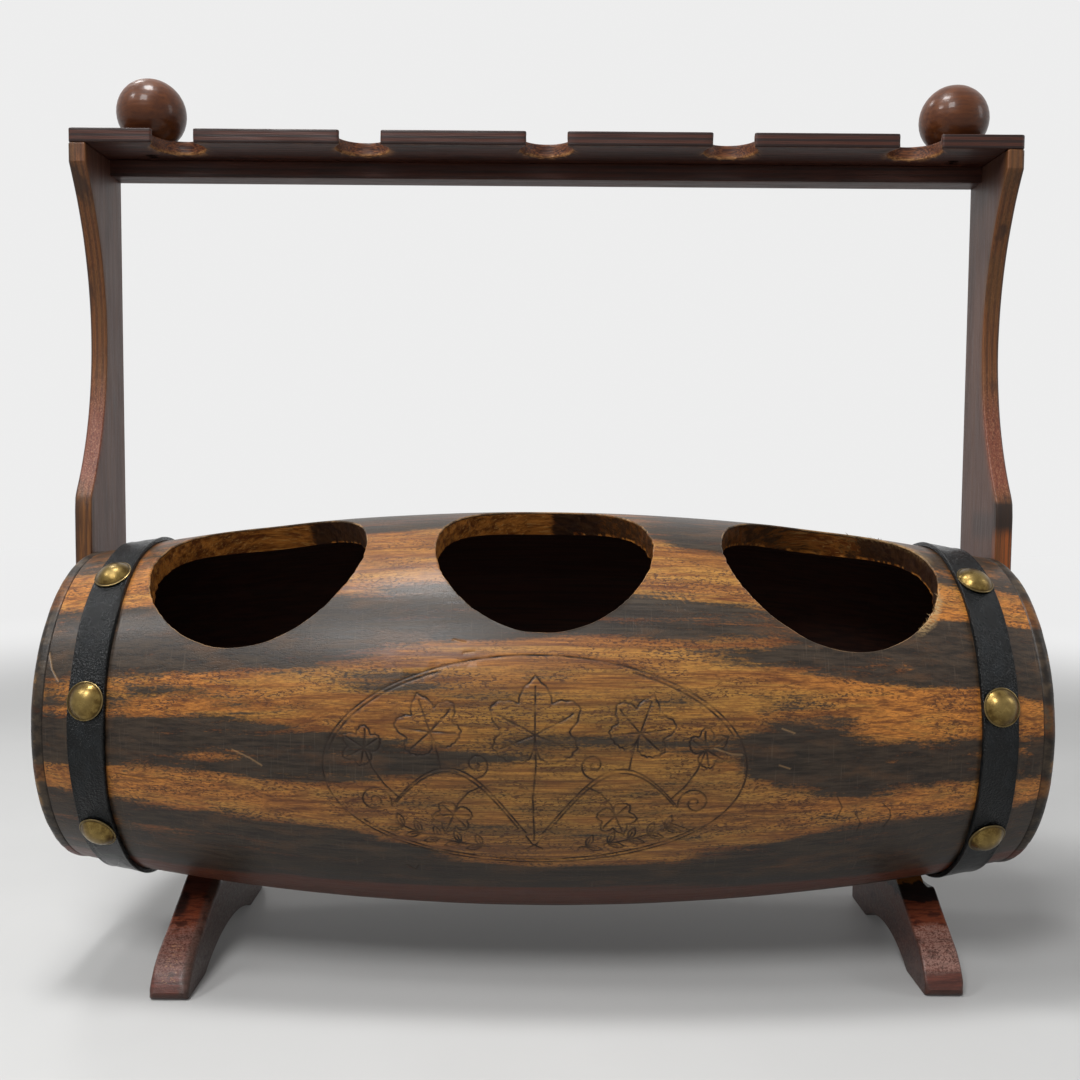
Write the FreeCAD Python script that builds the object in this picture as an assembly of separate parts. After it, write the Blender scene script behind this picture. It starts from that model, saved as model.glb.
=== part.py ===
import FreeCAD, Part
import math
import os

from FreeCAD import Vector

os.makedirs("parts", exist_ok=True)

# A small barrel lies along X on two feet. Bottles stand in its three openings, and stemmed glasses hang
# from a notched shelf above it. Lengths are millimetres, angles are degrees, +Z is up and -Y is the front.
# The origin is on the floor, below the middle of the barrel.

# Barrel: bowed staves between two heads
stave_count = 12
stave_thickness = 12.5
stave_end_radius = 83.5
barrel_bulge = 23.5
head_thickness = 7.0
head_rim_rounding = 4.0
ground_clearance = 27.5

# Bottle openings: round holes drilled towards the barrel's axis from above and in front
opening_count = 3
opening_diameter = 110.0
opening_bridge = 36.0
opening_tilt = 29.0

# Straps: one flat hoop near each end, held by dome nails
strap_width = 19.0
strap_thickness = 2.5
strap_end_margin = 14.0
strap_to_opening = 9.0
strap_clearance = 0.15
nails_a_side = 3
nail_first_angle = 33.5
nail_pitch_angle = 45.0
nail_head_diameter = 19.0
nail_head_height = 5.0
nail_flange = 0.6
nail_shank_diameter = 2.0
nail_shank_length = 10.0

# Posts: boards that stand on the outer faces of the heads
post_thickness = 9.5
post_width = 54.0
post_square_top = 10.3
post_waist_depth = 27.4
post_shoulder_rise = 29.5
post_lap = 68.0
post_corner_radius = 8.0
post_waist_share = 0.496

# Shelf and back rail
glass_room = 198.8
shelf_thickness = 7.7
stem_hole_diameter = 29.0
stem_mouth_width = 17.4
stem_spacing = 101.5
rail_depth = 17.3
rail_height = 9.2

# Ball finials on the shelf's ends
finial_diameter = 38.2
finial_flat_diameter = 22.5
left_finial_margin = 36.5
right_finial_margin = 29.5
finial_front_margin = 28.5

# Feet: arched boards across the barrel, each with its own span and its own distance from the staves' ends
foot_thickness = 19.4
left_foot_margin = 48.0
right_foot_margin = 29.4
left_foot_span = 158.0
right_foot_span = 139.0
foot_sole_length = 31.0
foot_arch_height = 10.0
foot_toe_radius = 4.0
foot_saddle_width = 24.0
foot_turn_shares = (0.74, 0.54)
foot_bow_shares = (0.915, 0.33)
foot_clearance = 0.2

# Wood screws and brads
screw_head_diameter = 7.0
screw_shank_diameter = 3.5
screw_slot_width = 1.0
screw_slot_depth = 1.1
post_screw_bite = 15.0
post_screw_shares = (0.22, 0.78)
foot_screw_spacing = 24.0
foot_screw_bite = 8.0
foot_screw_recess = 3.0
finial_screw_length = 30.0
brad_head_diameter = 3.2
brad_shank_diameter = 1.8
brad_length = 25.0
shelf_brad_shares = (0.15, 0.6)
rail_brad_shares = (0.3, 0.7)
fastener_clearance = 0.08

# How far a cutting tool runs past the face that it opens
overrun = 2.0

# Derived sizes
stave_angle = 360 / stave_count
barrel_middle_radius = stave_end_radius + barrel_bulge
axis_height = ground_clearance + barrel_middle_radius
openings_length = opening_count * opening_diameter + (opening_count - 1) * opening_bridge
stave_half_length = openings_length / 2 + strap_to_opening + strap_width + strap_end_margin
barrel_half_length = stave_half_length + head_thickness
opening_pitch = opening_diameter + opening_bridge
opening_stations = [(number - (opening_count - 1) / 2) * opening_pitch for number in range(opening_count)]
strap_outer_station = stave_half_length - strap_end_margin
strap_inner_station = strap_outer_station - strap_width
strap_middle_station = (strap_outer_station + strap_inner_station) / 2
bow_radius = (stave_half_length ** 2 + barrel_bulge ** 2) / (2 * barrel_bulge)
bow_centre_height = axis_height + barrel_middle_radius - bow_radius
shelf_bottom = axis_height + barrel_middle_radius + glass_room
shelf_top = shelf_bottom + shelf_thickness
shelf_half_length = barrel_half_length + post_thickness
finial_stations = {-1: left_finial_margin - shelf_half_length, 1: shelf_half_length - right_finial_margin}
rail_front = post_width - rail_depth
axis_point = Vector(0, 0, axis_height)
along = Vector(1, 0, 0)
up = Vector(0, 0, 1)
sides = {"left": -1, "right": 1}


def export(name, *solids):
    """Write one node: a single solid, or a group of separate ones."""
    shape = solids[0] if len(solids) == 1 else Part.makeCompound(list(solids))
    shape.exportStep("parts/" + name + ".step")


def chain(*edges):
    """A flat face inside edges that meet end to end in any order."""
    return Part.Face(Part.Wire(Part.sortEdges(list(edges))[0]))


def line(start, end):
    return Part.makeLine(start, end)


def arc(start, middle, end):
    return Part.Arc(start, middle, end).toShape()


def around_axis(shape, angle):
    """The shape turned about the barrel's axis, from the top towards the front."""
    turned = shape.copy()
    turned.rotate(axis_point, along, angle)
    return turned


def set_square(shape, position, outward):
    """The shape moved to the position, with its own +Z turned to the outward direction."""
    placed = shape.copy()
    placed.Placement = FreeCAD.Placement(position, FreeCAD.Rotation(up, outward)) * shape.Placement
    return placed


def touching(shape, tools):
    """The cutting tools whose boxes reach the shape's box."""
    return [tool for tool in tools if shape.BoundBox.intersect(tool.BoundBox)]


def cut(shape, tools):
    near = touching(shape, tools)
    return shape.cut(near).Solids[0] if near else shape


# Barrel shape: every face of a stave is a band of circles about one bow centre

def wall_point(station, depth):
    """The point at this distance along the axis, on the bow that lies depth below the outer face."""
    return Vector(station, 0, bow_centre_height + math.sqrt((bow_radius - depth) ** 2 - station ** 2))


def wall_arc(start, end, depth):
    return arc(wall_point(start, depth), wall_point((start + end) / 2, depth), wall_point(end, depth))


def wall_face(start, end):
    """The staves' section between two stations, in the upright plane through the axis."""
    return chain(
        wall_arc(start, end, 0),
        wall_arc(start, end, stave_thickness),
        line(wall_point(start, 0), wall_point(start, stave_thickness)),
        line(wall_point(end, 0), wall_point(end, stave_thickness)),
    )


def above_wall(station, lift):
    """The point that lies lift above the outer face, square to it, and the direction square to the face."""
    lean = math.asin(station / bow_radius)
    outward = Vector(math.sin(lean), 0, math.cos(lean))
    return Vector(0, 0, bow_centre_height) + outward * (bow_radius + lift), outward


def barrel_radius(station):
    return wall_point(station, 0).z - axis_height


def envelope(start, end, growth):
    """The barrel's full outer body between two stations, grown evenly."""
    face = chain(
        wall_arc(start, end, -growth),
        line(wall_point(start, -growth), Vector(start, 0, axis_height)),
        line(wall_point(end, -growth), Vector(end, 0, axis_height)),
        line(Vector(start, 0, axis_height), Vector(end, 0, axis_height)),
    )
    return face.revolve(axis_point, along, 360)


# Fasteners: turned about their own +Z, with the head's outer face at zero

def turned_body(points):
    """A body turned from an outline of (radius, height) points that starts and ends on the axis."""
    outline = Part.makePolygon([Vector(radius, 0, height) for radius, height in points + points[:1]])
    return Part.Face(outline).revolve(Vector(0, 0, 0), up, 360)


def countersunk(head_diameter, shank_diameter, length):
    """A pointed fastener with a head that lies flush in its countersink."""
    head = head_diameter / 2
    shank = shank_diameter / 2
    return turned_body([(0, 0), (head, 0), (shank, shank - head), (shank, 2 * shank - length), (0, -length)])


def countersunk_hole(head_diameter, shank_diameter, length):
    """The tool that makes room for a countersunk fastener."""
    head = head_diameter / 2 + fastener_clearance
    shank = shank_diameter / 2 + fastener_clearance
    foot = -length - fastener_clearance
    return turned_body([(0, overrun), (head, overrun), (head, 0), (shank, shank - head), (shank, foot), (0, foot)])


def slotted(screw):
    slot = Part.makeBox(screw_head_diameter, screw_slot_width, screw_slot_depth + overrun)
    slot.translate(Vector(-screw_head_diameter / 2, -screw_slot_width / 2, -screw_slot_depth))
    return screw.cut(slot)


def wood_screw(length):
    return slotted(countersunk(screw_head_diameter, screw_shank_diameter, length))


def wood_screw_hole(length):
    return countersunk_hole(screw_head_diameter, screw_shank_diameter, length)


def brad():
    return countersunk(brad_head_diameter, brad_shank_diameter, brad_length)


def brad_hole():
    return countersunk_hole(brad_head_diameter, brad_shank_diameter, brad_length)


def dome_nail():
    """A thin flange and a domed head above zero, and a pointed shank below it."""
    head = nail_head_diameter / 2
    shank = nail_shank_diameter / 2
    rise = nail_head_height - nail_flange
    dome_radius = (head ** 2 + rise ** 2) / (2 * rise)
    half_turn = math.asin(head / dome_radius) / 2
    dome_middle = Vector(dome_radius * math.sin(half_turn), 0,
                         nail_head_height - dome_radius * (1 - math.cos(half_turn)))
    face = chain(
        arc(Vector(0, 0, nail_head_height), dome_middle, Vector(head, 0, nail_flange)),
        line(Vector(head, 0, nail_flange), Vector(head, 0, 0)),
        line(Vector(head, 0, 0), Vector(shank, 0, 0)),
        line(Vector(shank, 0, 0), Vector(shank, 0, 2 * shank - nail_shank_length)),
        line(Vector(shank, 0, 2 * shank - nail_shank_length), Vector(0, 0, -nail_shank_length)),
        line(Vector(0, 0, -nail_shank_length), Vector(0, 0, nail_head_height)),
    )
    return face.revolve(Vector(0, 0, 0), up, 360)


def nail_hole():
    tool = Part.makeCylinder(nail_shank_diameter / 2 + fastener_clearance,
                             nail_shank_length + fastener_clearance + overrun)
    tool.translate(Vector(0, 0, -nail_shank_length - fastener_clearance))
    return tool


# Where the fasteners go: pairs of a position and the direction that the head faces

def strap_nail_places(side):
    """In the strap's front and back halves, square to the barrel's face. The top and the bottom stay free."""
    seat, outward = above_wall(side * strap_middle_station, strap_clearance + strap_thickness)
    places = []
    for half_turn in (0, 180):
        for number in range(nails_a_side):
            turn = FreeCAD.Rotation(along, half_turn + nail_first_angle + number * nail_pitch_angle)
            places.append((axis_point + turn.multVec(seat - axis_point), turn.multVec(outward)))
    return places


def post_screw_places(side):
    """Through the post and the head into the middle of the staves' end grain."""
    radius = stave_end_radius - stave_thickness / 2
    places = []
    for share in post_screw_shares:
        across = share * post_width
        height = axis_height + math.sqrt(radius ** 2 - across ** 2)
        places.append((Vector(side * shelf_half_length, across, height), along * side))
    return places


def shelf_brad_places(side):
    """Down through the shelf into the middle of a post's top end."""
    station = side * (barrel_half_length + post_thickness / 2)
    return [(Vector(station, share * post_width, shelf_top), up) for share in shelf_brad_shares]


def rail_brad_places(side):
    """Through a post into the end of the back rail."""
    height = shelf_bottom - rail_height / 2
    return [(Vector(side * shelf_half_length, rail_front + share * rail_depth, height), along * side)
            for share in rail_brad_shares]


def finial_screw_places(side):
    """Up through the shelf into the ball."""
    return [(Vector(finial_stations[side], finial_front_margin, shelf_bottom), -up)]


def place_all(shape, places):
    return [set_square(shape, position, outward) for position, outward in places]


def both_sides(places_of):
    return [place for side in sides.values() for place in places_of(side)]


post_screw_length = post_thickness + head_thickness + post_screw_bite
nail_holes = place_all(nail_hole(), both_sides(strap_nail_places))
post_screw_holes = place_all(wood_screw_hole(post_screw_length), both_sides(post_screw_places))
shelf_brad_holes = place_all(brad_hole(), both_sides(shelf_brad_places))
rail_brad_holes = place_all(brad_hole(), both_sides(rail_brad_places))
finial_screw_holes = place_all(wood_screw_hole(finial_screw_length), both_sides(finial_screw_places))


# Feet: the seat of each foot follows the barrel and clears the strap and its nails

foot_stations = {
    "left": -(stave_half_length - left_foot_margin - foot_thickness / 2),
    "right": stave_half_length - right_foot_margin - foot_thickness / 2,
}
foot_half_spans = {"left": left_foot_span / 2, "right": right_foot_span / 2}


def foot_outline(station, half_span):
    """A foot seen from the barrel's end, as a flat face at X zero."""
    seat_height = axis_height - barrel_radius(station)
    outboard_radius = barrel_radius(abs(station) + foot_thickness / 2)
    half_arch = half_span - foot_sole_length
    half_saddle = foot_saddle_width / 2
    saddle_height = axis_height - math.sqrt(outboard_radius ** 2 - half_saddle ** 2)
    turn_across_share, turn_height_share = foot_turn_shares
    bow_across_share, bow_height_share = foot_bow_shares
    corner_inset = foot_toe_radius * (1 - math.sqrt(0.5))
    edges = [
        line(Vector(0, -half_saddle, saddle_height), Vector(0, half_saddle, saddle_height)),
        arc(Vector(0, -half_arch, 0), Vector(0, 0, foot_arch_height), Vector(0, half_arch, 0)),
    ]
    for hand in (-1, 1):
        toe = Vector(0, hand * half_span, foot_toe_radius)
        toe_corner = Vector(0, hand * (half_span - corner_inset), corner_inset)
        sole_tip = Vector(0, hand * (half_span - foot_toe_radius), 0)
        bow = Vector(0, hand * bow_across_share * half_span, bow_height_share * seat_height)
        turning = Vector(0, hand * turn_across_share * half_span, turn_height_share * seat_height)
        edges.append(line(Vector(0, hand * half_arch, 0), sole_tip))
        edges.append(arc(sole_tip, toe_corner, toe))
        edges.append(arc(toe, bow, turning))
        edges.append(line(turning, Vector(0, hand * half_saddle, saddle_height)))
    return chain(*edges)


def foot_screw_places(station):
    """Up from the recesses in the arch, one in front of the other."""
    height = foot_arch_height + foot_screw_recess
    return [(Vector(station, hand * foot_screw_spacing / 2, height), -up) for hand in (-1, 1)]


def foot_screw_length(station):
    return axis_height - barrel_radius(station) + foot_screw_bite - foot_arch_height - foot_screw_recess


def foot_screw_holes_at(station):
    """Countersunk holes with a straight recess below each head."""
    holes = []
    for position, outward in foot_screw_places(station):
        recess = Part.makeCylinder(screw_head_diameter / 2 + fastener_clearance, position.z + overrun)
        recess.translate(Vector(position.x, position.y, -overrun))
        hole = set_square(wood_screw_hole(foot_screw_length(station)), position, outward)
        holes.append(hole.fuse(recess))
    return holes


def make_foot(station, half_span):
    foot = foot_outline(station, half_span).extrude(along * foot_thickness)
    foot.translate(along * (station - foot_thickness / 2))
    barrel_room = envelope(-stave_half_length, stave_half_length, foot_clearance)
    nail_room = strap_clearance + strap_thickness + nail_head_height + foot_clearance
    tools = [barrel_room]
    for side in sides.values():
        band = sorted((side * (strap_inner_station - foot_clearance), side * (strap_outer_station + foot_clearance)))
        tools.append(envelope(band[0], band[1], nail_room))
    return cut(foot, tools + foot_screw_holes_at(station))


foot_screws = []
foot_screw_holes = []
for side_name, station in foot_stations.items():
    export("foot_" + side_name, make_foot(station, foot_half_spans[side_name]))
    foot_screws += place_all(wood_screw(foot_screw_length(station)), foot_screw_places(station))
    foot_screw_holes += foot_screw_holes_at(station)
export("foot_screws", *foot_screws)


# Staves: number 1 carries the openings, and the rest follow it round towards the front

opening_direction = Vector(0, -math.sin(math.radians(opening_tilt)), math.cos(math.radians(opening_tilt)))
opening_drills = [
    Part.makeCylinder(opening_diameter / 2, barrel_middle_radius + overrun, axis_point + along * station,
                      opening_direction)
    for station in opening_stations
]
stave_tools = opening_drills + nail_holes + post_screw_holes + foot_screw_holes


def make_stave(number, start, end):
    """One stave between two stations, with its share of the openings and of the fasteners' holes."""
    first_angle = opening_tilt + (number - 0.5) * stave_angle
    face = around_axis(wall_face(start, end), first_angle)
    return cut(face.revolve(axis_point, along, stave_angle), stave_tools)


piece_ends = [-stave_half_length] + opening_stations + [stave_half_length]
for number in range(len(piece_ends) - 1):
    piece = make_stave(0, piece_ends[number], piece_ends[number + 1])
    export("opening_stave_part_%d" % (number + 1), piece)
for number in range(1, stave_count):
    export("stave_%02d" % (number + 1), make_stave(number, -stave_half_length, stave_half_length))


# Heads: flat discs over the staves' ends, rounded at the outer rim

def make_head(side):
    rounding = min(head_rim_rounding, head_thickness / 2)
    inner = side * stave_half_length
    outer = side * barrel_half_length
    rim = axis_height + stave_end_radius
    corner_inset = rounding * (1 - math.sqrt(0.5))
    flat_end = Vector(outer, 0, rim - rounding)
    round_end = Vector(outer - side * rounding, 0, rim)
    face = chain(
        line(Vector(inner, 0, axis_height), Vector(inner, 0, rim)),
        line(Vector(inner, 0, rim), round_end),
        arc(round_end, Vector(outer - side * corner_inset, 0, rim - corner_inset), flat_end),
        line(flat_end, Vector(outer, 0, axis_height)),
        line(Vector(outer, 0, axis_height), Vector(inner, 0, axis_height)),
    )
    return cut(face.revolve(axis_point, along, 360), post_screw_holes)


# Straps: hoops that lie along the bow, with edges square to it

def make_strap(side):
    corners = []
    for lift in (strap_clearance, strap_clearance + strap_thickness):
        for station in (strap_inner_station, strap_middle_station, strap_outer_station):
            corners.append(above_wall(side * station, lift)[0])
    face = chain(
        arc(*corners[:3]),
        arc(*corners[3:]),
        line(corners[0], corners[3]),
        line(corners[2], corners[5]),
    )
    return cut(face.revolve(axis_point, along, 360), nail_holes)


# Posts: square at the top, drawn in to a waist, and out again to a corner above the head's rim

def bowed_edge(start, end):
    """The arc that leaves its start upright and ends at the end."""
    across = end.y - start.y
    rise = end.z - start.z
    radius = (across ** 2 + rise ** 2) / (2 * abs(across))
    half_turn = math.asin(abs(rise) / radius) / 2
    middle = Vector(start.x, start.y + math.copysign(radius * (1 - math.cos(half_turn)), across),
                    start.z + math.copysign(radius * math.sin(half_turn), rise))
    return arc(start, middle, end)


def post_outline():
    rim = axis_height + stave_end_radius
    scallop_top = Vector(0, 0, shelf_bottom - post_square_top)
    scallop_foot = Vector(0, 0, rim + post_shoulder_rise)
    waist_height = scallop_foot.z + post_waist_share * (scallop_top.z - scallop_foot.z)
    waist = Vector(0, post_waist_depth, waist_height)
    bottom = rim - post_lap
    corner_inset = post_corner_radius * (1 - math.sqrt(0.5))
    edges = [
        line(Vector(0, 0, shelf_bottom), scallop_top),
        bowed_edge(waist, scallop_top),
        bowed_edge(waist, scallop_foot),
        line(scallop_foot, Vector(0, 0, bottom + post_corner_radius)),
        line(Vector(0, post_corner_radius, bottom), Vector(0, post_width - post_corner_radius, bottom)),
        line(Vector(0, post_width, bottom + post_corner_radius), Vector(0, post_width, shelf_bottom)),
        line(Vector(0, post_width, shelf_bottom), Vector(0, 0, shelf_bottom)),
    ]
    for edge_across, inward in ((0, 1), (post_width, -1)):
        edges.append(arc(
            Vector(0, edge_across, bottom + post_corner_radius),
            Vector(0, edge_across + inward * corner_inset, bottom + corner_inset),
            Vector(0, edge_across + inward * post_corner_radius, bottom),
        ))
    return chain(*edges)


def make_post(side):
    post = post_outline().extrude(along * post_thickness)
    post.translate(along * (barrel_half_length if side > 0 else -shelf_half_length))
    return cut(post, post_screw_holes + shelf_brad_holes + rail_brad_holes)


# Finials: balls with a small flat where they stand on the shelf

def make_finial(side):
    radius = finial_diameter / 2
    flat_radius = finial_flat_diameter / 2
    centre_height = math.sqrt(radius ** 2 - flat_radius ** 2)
    ball = Part.makeSphere(radius)
    below = Part.makeBox(finial_diameter, finial_diameter, finial_diameter)
    below.translate(Vector(-radius, -radius, -finial_diameter - centre_height))
    ball = ball.cut(below)
    ball.translate(Vector(finial_stations[side], finial_front_margin, shelf_top + centre_height))
    return cut(ball, finial_screw_holes)


for side_name, side in sides.items():
    export("head_" + side_name, make_head(side))
    export("strap_" + side_name, make_strap(side))
    export("strap_nails_" + side_name, *place_all(dome_nail(), strap_nail_places(side)))
    export("post_" + side_name, make_post(side))
    export("finial_" + side_name, make_finial(side))


# Shelf: the stem holes break out through the front edge, and keep clear of the finials' screws

def make_shelf():
    shelf = Part.makeBox(2 * shelf_half_length, post_width, shelf_thickness,
                         Vector(-shelf_half_length, 0, shelf_bottom))
    hole_radius = stem_hole_diameter / 2
    setback = math.sqrt(hole_radius ** 2 - (stem_mouth_width / 2) ** 2)
    clear = hole_radius + screw_head_diameter
    beside = math.sqrt(max(clear ** 2 - (finial_front_margin - setback) ** 2, 0))
    last = int((min(abs(station) for station in finial_stations.values()) - beside) / stem_spacing)
    holes = [
        Part.makeCylinder(hole_radius, shelf_thickness + 2 * overrun,
                          Vector(number * stem_spacing, setback, shelf_bottom - overrun))
        for number in range(-last, last + 1)
    ]
    return cut(shelf, holes + shelf_brad_holes + finial_screw_holes)


def make_back_rail():
    rail = Part.makeBox(2 * barrel_half_length, rail_depth, rail_height,
                        Vector(-barrel_half_length, rail_front, shelf_bottom - rail_height))
    return cut(rail, rail_brad_holes)


export("shelf", make_shelf())
export("back_rail", make_back_rail())
export("post_screws", *place_all(wood_screw(post_screw_length), both_sides(post_screw_places)))
export("shelf_brads", *place_all(brad(), both_sides(shelf_brad_places)))
export("rail_brads", *place_all(brad(), both_sides(rail_brad_places)))
export("finial_screws", *place_all(wood_screw(finial_screw_length), both_sides(finial_screw_places)))
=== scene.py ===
# %% [markdown]
# # A barrel wine rack
# A small wooden barrel lies on two arched feet. Three round openings in its upper front take bottles, and a
# notched shelf on two shaped posts holds stemmed glasses upside down. The construction model gives every
# piece its place and size. This lesson dresses it: each cell makes one piece as a surface worked out with
# numpy, or one finish out of shader nodes. The frame is loaded first, because the main sizes below are read
# from it.

# %% Load the frame
import bpy
import bmesh
import numpy as np
from mathutils import Matrix, Vector


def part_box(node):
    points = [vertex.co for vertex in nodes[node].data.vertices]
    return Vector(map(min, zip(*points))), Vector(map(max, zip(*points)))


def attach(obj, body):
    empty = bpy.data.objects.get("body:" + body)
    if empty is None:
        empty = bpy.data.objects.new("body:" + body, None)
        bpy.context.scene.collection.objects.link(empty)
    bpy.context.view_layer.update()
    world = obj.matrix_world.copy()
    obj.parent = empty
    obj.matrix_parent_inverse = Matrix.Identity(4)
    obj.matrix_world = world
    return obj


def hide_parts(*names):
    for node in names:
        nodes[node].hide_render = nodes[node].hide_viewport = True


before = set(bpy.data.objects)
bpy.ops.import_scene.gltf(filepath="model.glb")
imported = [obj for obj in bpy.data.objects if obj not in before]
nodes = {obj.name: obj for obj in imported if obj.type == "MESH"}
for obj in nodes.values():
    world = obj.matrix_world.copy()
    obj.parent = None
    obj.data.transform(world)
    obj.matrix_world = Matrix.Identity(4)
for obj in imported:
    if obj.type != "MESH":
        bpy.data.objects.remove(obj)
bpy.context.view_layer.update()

# %% [markdown]
# ## Sizes
# Blender works in metres, but a maker thinks of this rack in millimetres. So the lesson reads the main sizes
# from the frame as millimetres, and the helpers turn them back into metres.

# %% Main sizes from the frame
MM = 0.001


def node_box(name):
    """Lowest and highest corner of a piece of the frame, in millimetres."""
    low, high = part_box(name)
    return np.array(low) / MM, np.array(high) / MM


stave_nodes = sorted(name for name in nodes if name.startswith(("stave_", "opening_stave")))
stave_lows, stave_highs = zip(*(node_box(name) for name in stave_nodes))
half_length = max(high[0] for high in stave_highs)
middle_radius = max(high[1] for high in stave_highs)
axis_height = min(low[2] for low in stave_lows) + middle_radius
end_radius = node_box("head_left")[1][1]
bulge = middle_radius - end_radius
bow_radius = (half_length ** 2 + bulge ** 2) / (2 * bulge)
print("barrel: half length %.1f, middle radius %.1f, end radius %.1f, axis %.1f mm above the floor"
      % (half_length, middle_radius, end_radius, axis_height))

# %% [markdown]
# ## From points to a mesh
# Most pieces here are sheets: grids of points whose rows and columns follow two parameters. The helper below
# joins the neighbours of each grid into quads, welds the sheets of one piece along their shared edges, and
# turns all faces outwards. Numbers painted on the points, such as how dark the stain is, travel along as
# attributes that a shader can read.

# %% Sheets and pieces
weld_reach = 0.01
crease_angle = 35


def sheet(points, close_rows=False, close_columns=False, finish=0, **paint):
    """One grid of points in millimetres, with its finish number and what is painted on its points."""
    return {"points": np.asarray(points, float), "close": (close_rows, close_columns), "finish": finish,
            "paint": paint}


def quads(rows, columns, first, close):
    """Corner numbers of the quads between the neighbours of a grid, whose points are numbered row by row."""
    number = first + np.arange(rows * columns).reshape(rows, columns)
    if close[0]:
        number = np.vstack([number, number[:1]])
    if close[1]:
        number = np.hstack([number, number[:, :1]])
    corners = [number[:-1, :-1], number[1:, :-1], number[1:, 1:], number[:-1, 1:]]
    return np.stack(corners, axis=-1).reshape(-1, 4)


def build_mesh(name, sheets):
    """A mesh of all sheets, not welded yet. Paint that a sheet lacks is zero there."""
    mesh = bpy.data.meshes.new(name)
    faces, finishes, first = [], [], 0
    for part in sheets:
        rows, columns = part["points"].shape[:2]
        made = quads(rows, columns, first, part["close"])
        faces.append(made)
        finishes.append(np.full(len(made), part["finish"]))
        first += rows * columns
    points = np.concatenate([part["points"].reshape(-1, 3) for part in sheets])
    mesh.from_pydata((points * MM).tolist(), [], np.concatenate(faces).tolist())
    mesh.polygons.foreach_set("material_index", np.concatenate(finishes).astype(np.int32))
    for layer in sorted({word for part in sheets for word in part["paint"]}):
        values = [np.broadcast_to(part["paint"].get(layer, 0.0), part["points"].shape[:2]).reshape(-1)
                  for part in sheets]
        attribute = mesh.attributes.new(layer, "FLOAT", "POINT")
        attribute.data.foreach_set("value", np.concatenate(values).astype(np.float32))
    return mesh


def weld(mesh):
    """Points that touch become one, and the faces of the closed shell are turned outwards."""
    work = bmesh.new()
    work.from_mesh(mesh)
    bmesh.ops.remove_doubles(work, verts=work.verts, dist=weld_reach * MM)
    bmesh.ops.dissolve_degenerate(work, edges=work.edges, dist=weld_reach * MM / 10)
    bmesh.ops.recalc_face_normals(work, faces=work.faces)
    work.to_mesh(mesh)
    work.free()


def finish_piece(name, mesh, replaced, materials):
    """Shows the mesh as a piece that stands for the replaced nodes, smooth except over sharp creases."""
    mesh.polygons.foreach_set("use_smooth", np.ones(len(mesh.polygons), bool))
    mesh.set_sharp_from_angle(angle=np.radians(crease_angle))
    piece = bpy.data.objects.new(name, mesh)
    bpy.context.scene.collection.objects.link(piece)
    for material in materials:
        mesh.materials.append(material)
    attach(piece, "root")
    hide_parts(*replaced)
    triangles = sum(len(face.vertices) - 2 for face in mesh.polygons)
    open_edges = len(mesh.edges) * 2 - len(mesh.loops)
    print("%-20s %7d triangles, open edges %d" % (name, triangles, open_edges))


def make_piece(name, sheets, replaced, material):
    mesh = build_mesh(name, sheets)
    weld(mesh)
    finish_piece(name, mesh, replaced, [material])


sides = {"left": -1, "right": 1}


def make_pair(name, make_sheets, node, material):
    """The left and the right piece of one kind, each drawn by a function that is told which of them it
    draws."""
    for word in sides:
        make_piece(name + "_" + word, make_sheets(word), [node + "_" + word], material)


# %% [markdown]
# ## Unevenness
# Handmade wood is never quite even. A sum of sine waves that run in random directions gives a smooth,
# endless unevenness for any number of points at once. The seed makes it the same on every run.

# %% A smooth unevenness
def wobble(points, size, seed, waves=10):
    """A smooth value of about -1 to 1 at each point: waves of about the given size in millimetres, one
    number or one for each direction, added up with random directions and starts."""
    draw = np.random.default_rng(seed)
    turns = draw.normal(size=(waves, 3)) * 2 * np.pi / (2.2 * np.asarray(size))
    starts = draw.uniform(0, 2 * np.pi, waves)
    return np.sin(points @ turns.T + starts).sum(axis=-1) * np.sqrt(2 / waves) / 1.6


def step(low, high, value):
    """Zero below low and one above high, with a smooth turn between them. Low may be above high."""
    share = np.clip((value - low) / (high - low), 0, 1)
    return share * share * (3 - 2 * share)


# %% [markdown]
# ## The barrel's form
# The staves are bowed, so seen from the front the barrel's outline is an arc. One centre serves the whole
# bow: the radius at a place along the barrel is the height of that circle. An angle is counted from the top
# towards the front, which puts the front's middle at 90 degrees.

# %% The bow
def barrel_radius(x, depth=0.0):
    """The circle of the bow seen from the axis: its height at x, less the part that lies beyond the axis."""
    return middle_radius - bow_radius + np.sqrt((bow_radius - depth) ** 2 - np.asarray(x, float) ** 2)


def round_axis(x, radius, turn):
    """Points this far from the barrel's axis, turned in radians from the top towards the front."""
    x, radius, turn = np.broadcast_arrays(x, radius, turn)
    return np.stack([x, -radius * np.sin(turn), axis_height + radius * np.cos(turn)], axis=-1)


def turn_of(points):
    """The turn of points round the barrel's axis, in radians from the top towards the front."""
    return np.arctan2(-points[..., 1], points[..., 2] - axis_height)


def on_barrel(x, angle, depth=0.0):
    """Points at these places along and round the barrel, this deep below its face. Angles in degrees."""
    return round_axis(x, barrel_radius(x, depth), np.radians(angle))


stave_thickness = 12.5
print("radius at the straps %.1f mm" % barrel_radius(220))

# %% [markdown]
# ## The stain on the barrel
# The barrel was brushed with a clear orange stain and then with dark bands that run along the grain. Their
# edges are listed: each band is a short list of places along the barrel with its upper edge, its lower edge
# and its strength there. Single strokes of the brush lie between and over the bands. The shader breaks these
# soft edges up into streaks later. Below the middle the wood turns red-brown, and at the front's middle it
# is more olive.

# %% Dark bands and tints
first_angle, band_fade, band_start = -38, 3.5, 2.5
degree_length = 1.8

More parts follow.
